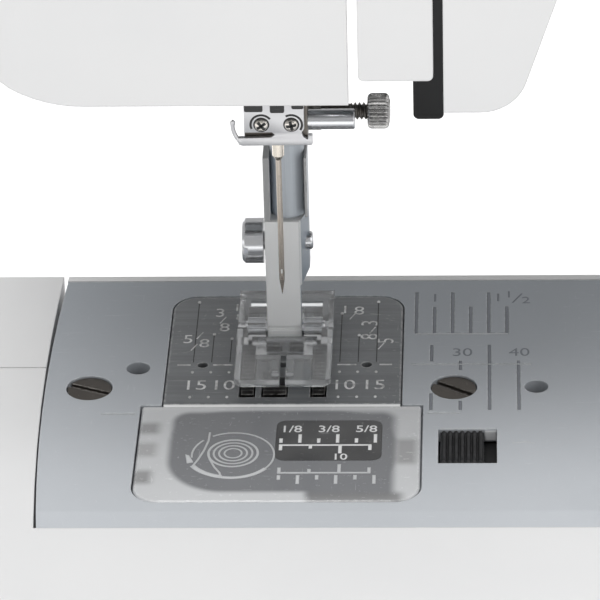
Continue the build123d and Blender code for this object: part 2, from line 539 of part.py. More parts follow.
def panel_sketch(inset: float) -> Sketch:
    """Returns the control panel's outline in the front view, drawn in by inset."""
    with BuildSketch() as outline:
        with Locations(((PANEL_X[0] + PANEL_X[1]) / 2, (PANEL_Z[0] + PANEL_Z[1]) / 2)):
            RectangleRounded(PANEL_X[1] - PANEL_X[0] - 2 * inset, PANEL_Z[1] - PANEL_Z[0] - 2 * inset, 5)
    return outline.sketch


with BuildPart() as front_cover:
    add(casing)
    block((-60, 270), (-50, SHELL_SEAM - GAP / 2), (0.2, COVER_SEAM - GAP), Mode.INTERSECT)
    # the opening that holds the tension cover, with a thread slot at each side of it
    block((SLOT_L[0], SLOT_R[1]), (-50, ARM_FRONT + 6), (60, 210), Mode.SUBTRACT)
    block((-60, HEAD_LEFT + 4), (FACE_FRONT, 70), (FACE_LOW, FACE_HIGH), Mode.SUBTRACT)
    block((34, 64), (9, 28), (60, 92), Mode.SUBTRACT)  # the lifter's slot in the head's right side
    for x in BUTTONS.values():
        rod((x, -45, BUTTON_Z), "y", 20, BUTTON_R + GAP, Mode.SUBTRACT)
    block((50, 94), (-45, -30), (150.3, 152.7), Mode.SUBTRACT)  # speed slider
    with BuildSketch(Plane.XZ.offset(-ARM_FRONT - 1.2)):
        add(panel_sketch(0))
    extrude(amount=5, mode=Mode.SUBTRACT)
    block((124, 246), (-45, -30), (134, 184), Mode.SUBTRACT)
    rod((COLUMN_RIGHT - 6, SHAFT_Y, SHAFT_Z), "x", 10, SHAFT_R + 1, Mode.SUBTRACT)
save(front_cover, "front_cover")

with BuildPart() as rear_cover:
    add(casing)
    block((-60, 270), (SHELL_SEAM + GAP / 2, 70), (0.2, COVER_SEAM - GAP), Mode.INTERSECT)
    block((-60, HEAD_LEFT + 4), (-70, FACE_BACK), (FACE_LOW, FACE_HIGH), Mode.SUBTRACT)
    block((34, 64), (9, 28), (60, 92), Mode.SUBTRACT)
    for i in range(8):  # cooling slots behind the motor
        block((196, 244), (ARM_BACK - 8, ARM_BACK + 1), (20 + 6 * i, 22.5 + 6 * i), Mode.SUBTRACT)
    for x, z in SCREW_POINTS:
        rod((x, ARM_BACK - 8, z), "y", 9, 2.1, Mode.SUBTRACT)
    for x in (31, 189):  # lugs of the carrying handle
        block((x - 4, x + 4), (ARM_BACK - 1, HANDLE_Y), (HANDLE_Z - 5, HANDLE_Z + 5))
        rod((x - 4, HANDLE_Y, HANDLE_Z), "x", 8, 5)
        rod((x - 5, HANDLE_Y, HANDLE_Z), "x", 10, 3 + RUN, Mode.SUBTRACT)
save(rear_cover, "rear_cover")

with BuildPart() as casing_screws:
    for x, z in SCREW_POINTS:
        rod((x, ARM_BACK - 9, z), "y", 9.0, 2.0)
        rod((x, ARM_BACK, z), "y", 1.6, 3.4)
        block((x - 2.2, x + 2.2), (ARM_BACK + 0.8, ARM_BACK + 2), (z - 0.4, z + 0.4), Mode.SUBTRACT)
        block((x - 0.4, x + 0.4), (ARM_BACK + 0.8, ARM_BACK + 2), (z - 2.2, z + 2.2), Mode.SUBTRACT)
save(casing_screws, "casing_screws")

WELL_X, WELL_Y, WELL_Z = (86.0, 204.0), (6.0, 46.0), 201.0
with BuildPart() as top_cover:
    add(casing)
    block((-60, 270), (-50, 70), (COVER_SEAM, 230), Mode.INTERSECT)
    # the spool well: a floor and four walls let into the top
    block((WELL_X[0] - 2, WELL_X[1] + 2), (WELL_Y[0] - 2, WELL_Y[1] + 2), (WELL_Z - 2, ARM_TOP - 1))
    block(WELL_X, WELL_Y, (WELL_Z, ARM_TOP + 5), Mode.SUBTRACT)
    block((WINDER_X - 7, WINDER_X + 7), (WINDER_Y - 7, WINDER_Y + 7), (ARM_TOP - 9, ARM_TOP - 1))
    rod((WINDER_X, WINDER_Y, ARM_TOP - 12), "z", 16, 3 + RUN, Mode.SUBTRACT)
    rod((WINDER_X + 17, WINDER_Y, ARM_TOP - 3), "z", 8, 4)  # the stop that a full bobbin meets
    block((SLOT_L[0], SLOT_R[1]), (-50, ARM_FRONT + 20), (190, 206), Mode.SUBTRACT)
save(top_cover, "top_cover")

with BuildPart() as face_cover:
    block((HEAD_LEFT, HEAD_LEFT + 2.6), (FACE_FRONT + GAP, FACE_BACK - GAP), (FACE_LOW + GAP, FACE_HIGH - GAP))
    chamfer(face_cover.faces().sort_by(Axis.X)[0].edges(), 0.8)
    block((-52, -44), (-16.2, -11.8), (112, 152), Mode.SUBTRACT)  # the threader lever's slot
    block((-54.5, -49), (14, 30), (104, 107))  # thread cutter: a hooded notch
    block((-54.5, -49.5), (14, 30), (109.5, 118))
    block((-54.5, -49.5), (27, 30), (104, 118))
save(face_cover, "face_cover")

DIAL_X, DIAL_Y, DIAL_Z, DIAL_R = 20.8, -30.5, 160.0, 12.0
with BuildPart() as tension_cover:
    block((SLOT_L[1], SLOT_R[0]), (ARM_FRONT - 0.3, ARM_FRONT + 2.4), (75.2, 205.5))
    fillet(tension_cover.edges().filter_by(Axis.Y).group_by(Axis.Z)[0], 0.9)
    block((DIAL_X - 3.4, DIAL_X + 3.4), (-45, -30), (DIAL_Z - 11.4, DIAL_Z + 11.4), Mode.SUBTRACT)
    block((8, 34), (ARM_FRONT + 2.5, ARM_FRONT + 5), (192.5, 197.5))  # bridge fixed behind the front cover
    block((SLOT_L[1], SLOT_R[0]), (ARM_FRONT + 2, ARM_FRONT + 5), (190.5, 205.5))
    for low in (15.2, 24.9):  # ears of the dial's pin
        block((low, low + 1.5), (ARM_FRONT + 2, DIAL_Y + 4), (DIAL_Z - 4, DIAL_Z + 4))
    rod((15.4, DIAL_Y, DIAL_Z), "x", 10.8, 2.0)
    block((24.6, 26.4), (ARM_FRONT + 2, -15), (112, 132))  # plate of the tension discs
save(tension_cover, "tension_cover")

with BuildPart() as tension_dial:
    rod((DIAL_X - 3, DIAL_Y, DIAL_Z), "x", 6, DIAL_R)
    chamfer(tension_dial.edges().filter_by(GeomType.CIRCLE), 0.6)
    rod((DIAL_X - 3.5, DIAL_Y, DIAL_Z), "x", 7, 3.5)
    rod((DIAL_X - 5, DIAL_Y, DIAL_Z), "x", 10, 2.0 + RUN, Mode.SUBTRACT)
    with Locations(Location((DIAL_X, DIAL_Y, DIAL_Z), (0, 90, 0))):
        with PolarLocations(DIAL_R, 36):
            Box(0.9, 0.7, 8, mode=Mode.SUBTRACT)
save(tension_dial, "tension_dial")

with BuildPart() as tension_discs:
    for x in (17.8, 19.6, 21.4):
        rod((x, -23, 122), "x", 0.9, 8.0)
    rod((16.8, -23, 122), "x", 7.8, 1.8)
save(tension_discs, "tension_discs")

with BuildPart() as thread_guide:
    block((10, 44), (-10, -4), (ARM_TOP, ARM_TOP + 1.2))
    block((10, 13), (-14, 0), (ARM_TOP + 1.2, ARM_TOP + 6))
    block((41, 44), (-10, -4), (ARM_TOP + 1.2, ARM_TOP + 7))
    rod((27, -7, ARM_TOP + 1.2), "z", 5, 2.4)
    rod((27, -7, ARM_TOP + 5), "z", 1.2, 4.6)
save(thread_guide, "thread_guide")

# ---------------------------------------------------------------- frame, shafts and drive
LOCK_X, LOCK_Y = (-24.0, -19.0), (34.0, 40.0)  # section of the buttonhole lever
with BuildPart() as frame:
    block((-12, 240), (16, 30), (158, 172))  # the arm beam behind the main shaft
    block((-12, -6), (16, 30), (82, 186))  # head bracket
    for z in (86, 176):  # upper and lower guides of the needle bar and the presser bar
        block((-12, 8), (-5.5, 18), (z, z + 8))
        rod((0, 0, z - 1), "z", 10, BAR_R + RUN, Mode.SUBTRACT)
        rod((FOOT_BAR_X, FOOT_BAR_Y, z - 1), "z", 10, FOOT_BAR_R + RUN, Mode.SUBTRACT)
    block((-12, 32), (24.5, 30), (82, 94))  # foot of the lifter's pin
    rod((PIVOT_X, 12.5, PIVOT_Z), "y", 13, 2.0 - RUN)
    block((7.2, 12.6), (0, 20), (147, 159))  # carries the take-up lever's pin
    rod((12, TAKE_UP_Y, TAKE_UP_Z), "x", 3.2, 2.0)
    block((LOCK_X[0] - 4, -8), (24, LOCK_Y[1] + 4), (98, 106))  # guide of the buttonhole lever
    block((LOCK_X[0] - RUN, LOCK_X[1] + RUN), (LOCK_Y[0] - RUN, LOCK_Y[1] + RUN), (97, 107), Mode.SUBTRACT)
    for x in (60, 226):  # main bearings
        block((x, x + 12), (-6, 17), (157, 173))
        rod((x - 1, SHAFT_Y, SHAFT_Z), "x", 14, SHAFT_R + RUN, Mode.SUBTRACT)
    block((226, 238), (-32, 0), (157, 173))
    rod((225, SHAFT_Y, SHAFT_Z), "x", 14, SHAFT_R + RUN, Mode.SUBTRACT)
    block((226, 240), (-32, -18), (-62, 172))  # column post, standing in the base
    block((186, 250), (-32, 56), (BASE_FLOOR + WALL, -60))
    block((196, 204), (-14, 2), (-62, -28))  # lower bearing
    rod((195, LOWER_Y, LOWER_Z), "x", 10, LOWER_R + RUN, Mode.SUBTRACT)
save(frame, "main_frame")

with BuildPart() as main_shaft:
    rod((23, SHAFT_Y, SHAFT_Z), "x", 245, SHAFT_R)
    rod((17, SHAFT_Y, SHAFT_Z), "x", 7, 13)  # crank disc
    rod((15.2, SHAFT_Y + 9, SHAFT_Z), "x", 3, 2.0)
    rod((214, SHAFT_Y, SHAFT_Z), "x", 8, 11)  # pulley of the timing belt
    rod((243.5, SHAFT_Y, SHAFT_Z), "x", 7, 20)  # pulley of the motor belt
save(main_shaft, "main_shaft")

WHEEL_X, WHEEL_R, WHEEL_W = COLUMN_RIGHT + 2.0, 32.0, 23.0
with BuildPart() as handwheel:
    rod((WHEEL_X, SHAFT_Y, SHAFT_Z), "x", WHEEL_W, WHEEL_R)
    fillet(handwheel.edges().filter_by(GeomType.CIRCLE).sort_by(Axis.X)[-1], 4)
    fillet(handwheel.edges().filter_by(GeomType.CIRCLE).sort_by(Axis.X)[0], 2)
    rod((WHEEL_X + WHEEL_W - 4, SHAFT_Y, SHAFT_Z), "x", 5, 21, Mode.SUBTRACT)
    rod((WHEEL_X + WHEEL_W - 5, SHAFT_Y, SHAFT_Z), "x", 4, 13)
    with Locations(Location((WHEEL_X + 11, SHAFT_Y, SHAFT_Z), (0, 90, 0))):
        with PolarLocations(WHEEL_R + 0.6, 30):
            Cylinder(1.5, 13, mode=Mode.SUBTRACT)
    rod((WHEEL_X - 1, SHAFT_Y, SHAFT_Z), "x", 2, SHAFT_R, Mode.SUBTRACT)
save(handwheel, "handwheel")

TAKE_UP_REACH, TAKE_UP_LIFT = 54.0, 38.0  # length, and the angle above the horizontal at rest
with BuildPart() as take_up:
    with BuildSketch(Plane.YZ.offset(SLOT_L[0] + GAP)):
        with Locations(Location((TAKE_UP_Y, TAKE_UP_Z), 90 - TAKE_UP_LIFT)):
            add(link_plan(2.8, 6.5, TAKE_UP_REACH))
            Circle(2.0 + RUN, mode=Mode.SUBTRACT)
            with Locations((0, TAKE_UP_REACH)):
                Circle(1.1, mode=Mode.SUBTRACT)
    extrude(amount=1.0)
save(take_up, "take_up_lever")

MOTOR_Y, MOTOR_Z, MOTOR_PULLEY_R = 44.0, -20.0, 7.0
with BuildPart() as motor:
    rod((206, MOTOR_Y, MOTOR_Z), "x", 34, 18.6)
    fillet(motor.edges().filter_by(GeomType.CIRCLE), 3)
    rod((200, MOTOR_Y, MOTOR_Z), "x", 51, 3)
    rod((243.5, MOTOR_Y, MOTOR_Z), "x", 7, MOTOR_PULLEY_R)
    block((212, 234), (MOTOR_Y - 8, MOTOR_Y + 8), (-60, MOTOR_Z - 15))
save(motor, "motor")


def belt(x: float, width: float, upper: tuple, lower: tuple, thickness: float) -> None:
    """Adds a belt across x round an upper and a lower pulley, each given as (y, z, radius)."""
    run = hypot(upper[0] - lower[0], upper[1] - lower[1])
    tilt = degrees(atan2(lower[0] - upper[0], upper[1] - lower[1]))
    ring = link_plan(upper[2] + thickness, lower[2] + thickness, run) - link_plan(upper[2], lower[2], run)
    plane = Plane((x, lower[0], lower[1]), x_dir=(0, 1, 0), z_dir=(1, 0, 0))
    extrude(plane * Rot(0, 0, tilt) * ring, amount=width)


with BuildPart() as belts:
    belt(214.5, 7, (SHAFT_Y, SHAFT_Z, 11 + GAP), (LOWER_Y, LOWER_Z, 11 + GAP), 1.5)
    belt(244, 6, (SHAFT_Y, SHAFT_Z, 20 + GAP), (MOTOR_Y, MOTOR_Z, MOTOR_PULLEY_R + GAP), 1.5)
save(belts, "drive_belts")

# ---------------------------------------------------------------- controls
with BuildPart() as lamp:
    block((-31, -12), (0, 16), (79, 87))
    chamfer(lamp.faces().sort_by(Axis.Z)[0].edges(), 1.5)
save(lamp, "led_lamp")

for name, x in BUTTONS.items():
    with BuildPart() as button:
        rod((x, ARM_FRONT - 1.8, BUTTON_Z), "y", 5, BUTTON_R)
        chamfer(button.faces().sort_by(Axis.Y)[0].edges(), 0.6)
        rod((x, ARM_FRONT + WALL + GAP, BUTTON_Z), "y", 1.6, BUTTON_R + 1.6)
    save(button, name)

with BuildPart() as slider:
    block((54, 62), (-42, ARM_FRONT - 0.4), (146, 157))
    chamfer(slider.faces().sort_by(Axis.Y)[0].edges(), 0.8)
    for i in range(3):
        block((56 + 1.6 * i, 56.8 + 1.6 * i), (-42.5, -41), (148, 155))
    block((55, 61), (-39, -34.5), (150.6, 152.4))
    block((53, 63), (ARM_FRONT + WALL + 0.4, ARM_FRONT + WALL + 2.2), (147, 156))
save(slider, "speed_slider")

SCREEN_X, SCREEN_Z = (126.0, 196.0), (140.0, 178.0)
with BuildPart() as panel:
    with BuildSketch(Plane.XZ.offset(-ARM_FRONT - 1.2)):
        add(panel_sketch(GAP))
    extrude(amount=1.2)
    block((124.3, 245.7), (-36.9, -34), (134.3, 183.7))
    block(SCREEN_X, (-40, -35), SCREEN_Z, Mode.SUBTRACT)
    for column in range(3):  # membrane keys, which only flex
        for row in range(3):
            with BuildSketch(Plane.XZ.offset(-ARM_FRONT - 0.1)):
                with Locations((208 + 14 * column, 146 + 13 * row)):
                    RectangleRounded(10.5, 7, 2.5)
            extrude(amount=0.6)
save(panel, "control_panel")

with BuildPart() as screen:
    block((SCREEN_X[0], SCREEN_X[1]), (ARM_FRONT + 0.3, -35), (SCREEN_Z[0], SCREEN_Z[1]))
save(screen, "display_screen")

PIN_AXIS_Y, PIN_AXIS_Z = 26.0, 213.0
with BuildPart() as spool_pin:
    block((88, 96), (PIN_AXIS_Y - 5, PIN_AXIS_Y + 5), (WELL_Z, PIN_AXIS_Z + 3.4))
    rod((95, PIN_AXIS_Y, PIN_AXIS_Z), "x", 92, 2.6)
    fillet(spool_pin.faces().sort_by(Axis.X)[-1].edges(), 1.0)
save(spool_pin, "spool_pin")

with BuildPart() as spool_cap:
    rod((168, PIN_AXIS_Y, PIN_AXIS_Z), "x", 2.6, 11.2)
    rod((168, PIN_AXIS_Y, PIN_AXIS_Z), "x", 11, 5)
    fillet(spool_cap.edges().filter_by(GeomType.CIRCLE).sort_by(Axis.X)[0], 0.8)
    rod((167, PIN_AXIS_Y, PIN_AXIS_Z), "x", 14, 2.6 + RUN, Mode.SUBTRACT)
save(spool_cap, "spool_cap")

with BuildPart() as winder:
    rod((WINDER_X, WINDER_Y, ARM_TOP - 11), "z", 24, 2.55)
    chamfer(winder.faces().sort_by(Axis.Z)[-1].edges(), 1.0)
    rod((WINDER_X, WINDER_Y, ARM_TOP - 11), "z", 12, 3.0)
    rod((WINDER_X, WINDER_Y, ARM_TOP + 0.4), "z", 1.6, 6.5)
    rod((WINDER_X, WINDER_Y, ARM_TOP - 11), "z", 1.6, 6.5)
save(winder, "winder_spindle")

GRIP_X = (22.0, 198.0)
with BuildPart() as handle:
    for x, inward in ((GRIP_X[0], 1), (GRIP_X[1] - 4.5, -1)):
        block((x, x + 4.5), (HANDLE_Y - 3.4, HANDLE_Y + 3.4), (HANDLE_Z - HANDLE_DROP, HANDLE_Z))
        rod((x, HANDLE_Y, HANDLE_Z), "x", 4.5, 5)
        start = x if inward > 0 else x - 7.9
        rod((start, HANDLE_Y, HANDLE_Z), "x", 12.4, 3)
    block(GRIP_X, (HANDLE_Y - 3.4, HANDLE_Y + 3.4), (HANDLE_Z - HANDLE_DROP - 6, HANDLE_Z - HANDLE_DROP + 7))
    fillet(handle.edges().filter_by(Axis.X).group_by(Axis.Z)[0], 2.5)
save(handle, "carrying_handle")

with BuildPart() as inlet:
    block((246, COLUMN_RIGHT), (20.3, 45.7), (-55.7, -34.3))
    block((COLUMN_RIGHT, COLUMN_RIGHT + 1.4), (18, 48), (-58, -32))
    block((249, COLUMN_RIGHT + 2), (23.5, 42.5), (-51, -39), Mode.SUBTRACT)
    for y in (28.5, 37.5):
        rod((248, y, -45), "x", 12, 1.4)
save(inlet, "power_inlet")

with BuildPart() as switch:
    with BuildSketch(Plane(origin=(SWITCH_X, SWITCH_Y, -51.6), x_dir=(cos(0.1), -sin(0.1), 0), z_dir=(0, 0, 1))):
        with BuildLine():
            Polyline((-1.5, -9.3), (4.5, -9.2), (8.6, -6.0), (7.6, 0), (8.6, 6.0), (4.5, 9.2), (-1.5, 9.3), close=True)
        make_face()
    extrude(amount=13.2)
    rod((SWITCH_X, SWITCH_Y, -56), "z", 22, 1.5)
save(switch, "power_switch")

with BuildPart() as drop_lever:
    block((102, 108), (BED_BACK + 0.4, BED_BACK + 4), (-34, -24))
    chamfer(drop_lever.faces().sort_by(Axis.Y)[-1].edges(), 0.8)
    block((103, 107), (27, 31.5), (-31.5, -26.5))
    block((101, 109), (25.8, BED_BACK - WALL - 0.4), (-34, -24))
save(drop_lever, "feed_drop_lever")

with BuildPart() as threader_lever:
    block((-56, HEAD_LEFT - 0.4), (-18, -10), (136, 148))
    chamfer(threader_lever.faces().sort_by(Axis.X)[0].edges(), 1.2)
    block((-51.5, -46), (-15.7, -12.3), (139, 145))
    block((HEAD_LEFT + 3.0, HEAD_LEFT + 5), (-18, -10), (136, 148))
save(threader_lever, "threader_lever")

with BuildPart() as lock_lever:
    block(LOCK_X, LOCK_Y, (66, 118))
    chamfer(lock_lever.faces().sort_by(Axis.Z)[0].edges(), 0.8)
    block((LOCK_X[0] - 2, LOCK_X[1] + 2), (LOCK_Y[0] - 1, LOCK_Y[1] + 1), (130, 134))
    block(LOCK_X, LOCK_Y, (117, 131))
save(lock_lever, "buttonhole_lever")

# ---------------------------------------------------------------- extension table and its lid
TABLE_GAP = 0.4  # between the table and the free arm
TABLE_RIGHT = COLUMN_LEFT - 0.3
LID_SPLIT = -0.5  # y of the seam across the table's left part
HINGE_Y, HINGE_Z, HINGE_R = FRONT + 1.25, -12.75, 1.25
SKIRT_X = (-118.0, 166.0)
RIM = -3.0  # top of the walls under the lid


def table_plan(inset: float) -> Sketch:
    """Returns the table's plan, wrapped round the free arm: a left part and a strip in front."""
    with BuildSketch() as plan:
        rounded_rectangle((TABLE_LEFT + inset, TABLE_RIGHT - inset), (FRONT + inset, BED_BACK - inset), 0, 0)
        fillet(vertices().group_by(Axis.X)[0], 6)
        with Locations((-TABLE_GAP, 0)):
            add(bed_plan(PLATE_FRONT - 0.35 - inset, BED_BACK + 9, TABLE_RIGHT + 9), mode=Mode.SUBTRACT)
    return plan.sketch


with BuildPart() as table:
    with BuildSketch(Plane.XY.offset(TABLE_FLOOR)):
        add(table_plan(0))
    extrude(amount=-TABLE_FLOOR)
    block((TABLE_LEFT + WALL, -44), (FRONT + WALL, BED_BACK - WALL), (TABLE_FLOOR + WALL, -WALL), Mode.SUBTRACT)
    block((-46, TABLE_RIGHT - WALL), (FRONT + WALL, PLATE_FRONT - 3), (TABLE_FLOOR + WALL, -WALL), Mode.SUBTRACT)
    # the lid's place, and the slot in the front wall for its skirt
    block((TABLE_LEFT - 1, TABLE_RIGHT + 1), (FRONT - 1, LID_SPLIT), (RIM, 1), Mode.SUBTRACT)
    block((SKIRT_X[0] - GAP, SKIRT_X[1] + GAP), (FRONT - 1, FRONT + WALL + 1), (HINGE_Z - HINGE_R - GAP, 0), Mode.SUBTRACT)
    for x in (SKIRT_X[0] - 3.3, SKIRT_X[1] - 0.5):
        rod((x, HINGE_Y, HINGE_Z), "x", 3.8, 0.75 + RUN, Mode.SUBTRACT)
    for x, y in ((-114, -76), (-114, 18), (-56, 18), (20, -70), (160, -70)):
        rod((x, y, -BED_HEIGHT), "z", BED_HEIGHT + TABLE_FLOOR, 5)
save(table, "extension_table")

with BuildPart() as lid:
    with BuildSketch(Plane.XY.offset(-WALL)):
        add(table_plan(0))
    extrude(amount=WALL)
    block((TABLE_LEFT - 1, TABLE_RIGHT + 1), (LID_SPLIT - GAP, BED_BACK + 1), (-WALL - 1, 1), Mode.SUBTRACT)
    block(SKIRT_X, (FRONT, FRONT + 2 * HINGE_R), (HINGE_Z, -WALL + 0.1))
    rod((SKIRT_X[0], HINGE_Y, HINGE_Z), "x", SKIRT_X[1] - SKIRT_X[0], HINGE_R)
    rod((SKIRT_X[0] - 2.3, HINGE_Y, HINGE_Z), "x", SKIRT_X[1] - SKIRT_X[0] + 4.6, 0.75)
save(lid, "table_lid")
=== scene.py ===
"""Looks of a free-arm sewing machine, seen close at its needle.

Lengths are given in millimetres about the point where the needle meets the plate: X to the right,
Y to the back and Z up. to_frame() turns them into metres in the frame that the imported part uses.
"""

import logging
import math
from dataclasses import dataclass, field
from enum import Enum

import bmesh
import bpy
import numpy as np
from mathutils import Matrix, Vector


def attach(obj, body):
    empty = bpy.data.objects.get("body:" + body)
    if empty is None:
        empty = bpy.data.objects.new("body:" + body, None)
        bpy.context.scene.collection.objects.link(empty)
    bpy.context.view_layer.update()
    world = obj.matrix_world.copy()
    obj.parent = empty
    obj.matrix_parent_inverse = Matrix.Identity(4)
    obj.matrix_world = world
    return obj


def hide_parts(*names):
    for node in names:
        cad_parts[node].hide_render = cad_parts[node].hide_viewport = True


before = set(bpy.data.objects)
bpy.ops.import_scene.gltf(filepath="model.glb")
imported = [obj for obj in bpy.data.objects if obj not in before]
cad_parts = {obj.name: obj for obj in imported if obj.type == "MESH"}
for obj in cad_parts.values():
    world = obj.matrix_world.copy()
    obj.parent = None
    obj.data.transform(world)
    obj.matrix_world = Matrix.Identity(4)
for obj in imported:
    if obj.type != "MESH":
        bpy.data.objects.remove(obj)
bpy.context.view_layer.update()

LOG = logging.getLogger("sewing_machine")
MM = 0.001
NEEDLE_POINT = np.array([-81.0, 6.0, 73.0])
SUNK = -0.02  # how far flat marks reach into their surface, in millimetres

Pair = tuple[float, float]
Triple = tuple[float, float, float]
Socket = bpy.types.NodeSocket
Material = bpy.types.Material


class Body(Enum):
    """Moving bodies that the new pieces ride on."""

    MACHINE = "machine"
    NEEDLE_SLIDE = "needle_slide"
    CLAMP_SCREW = "clamp_screw"
    HOOK_COVER = "hook_cover"
    LATCH = "latch"


# ---- Shapes as whole arrays ----


def to_frame(points: np.ndarray) -> np.ndarray:
    """Millimetres about the needle point to metres in the part's frame: add the offset, then scale.

    Args:
        points: N rows of X, Y, Z in millimetres.

    Returns:
        N rows of X, Y, Z in metres.
    """
    return (np.asarray(points, float) + NEEDLE_POINT) * MM


def grid_faces(rows: int, cols: int, close_rows: bool = False, close_cols: bool = False) -> list[list[int]]:
    """Quads of a grid of points that is stored row by row.

    Args:
        rows: number of rows of points.
        cols: number of points in a row.
        close_rows: joins the last row to the first.
        close_cols: joins the last point of a row to its first.

    Returns:
        Four indices for each quad: (i, j), (i + 1, j), (i + 1, j + 1), (i, j + 1).
    """
    i, j = np.meshgrid(
        np.arange(rows if close_rows else rows - 1),
        np.arange(cols if close_cols else cols - 1),
        indexing="ij",
    )
    down, right = (i + 1) % rows, (j + 1) % cols
    quads = np.stack([i * cols + j, down * cols + j, down * cols + right, i * cols + right], axis=-1)
    return quads.reshape(-1, 4).tolist()


def rounded_rectangle(x0: float, x1: float, y0: float, y1: float, radius: float,
                      steps: int = 6) -> np.ndarray:
    """Outline of a rectangle whose corners are quarter circles: corner centre + radius (cos t, sin t).

    Args:
        x0, x1, y0, y1: sides of the rectangle.
        radius: corner radius.
        steps: arcs are divided into this many parts.

    Returns:
        The outline's points, counter-clockwise, 4 (steps + 1) rows of X, Y.
    """
    centres = np.array([[x1 - radius, y1 - radius], [x0 + radius, y1 - radius],
                        [x0 + radius, y0 + radius], [x1 - radius, y0 + radius]])
    turn = np.linspace(0.0, math.pi / 2, steps + 1)
    angle = turn[None, :] + np.arange(4)[:, None] * math.pi / 2
    arcs = centres[:, None, :] + radius * np.stack([np.cos(angle), np.sin(angle)], axis=-1)
    return arcs.reshape(-1, 2)


def ellipse(cx: float, cy: float, rx: float, ry: float, start: float = 0.0, end: float = 360.0,
            count: int = 48) -> np.ndarray:
    """Points of an ellipse's arc: centre + (rx cos t, ry sin t), t from start to end degrees."""
    t = np.radians(np.linspace(start, end, count))
    return np.stack([cx + rx * np.cos(t), cy + ry * np.sin(t)], axis=-1)


def directions(path: np.ndarray, closed: bool) -> np.ndarray:
    """Unit direction at each point of a path: the mean of its two edges, or of one at an open end.

    Args:
        path: rows of X, Y.
        closed: the path is a loop.

    Returns:
        One row for each point.
    """
    ahead = np.roll(path, -1, axis=0) - path
    behind = path - np.roll(path, 1, axis=0)
    if not closed:
        ahead[-1], behind[0] = behind[-1], ahead[0]
    unit = [edge / np.linalg.norm(edge, axis=1)[:, None] for edge in (ahead, behind)]
    along = unit[0] + unit[1]
    return along / np.linalg.norm(along, axis=1)[:, None]


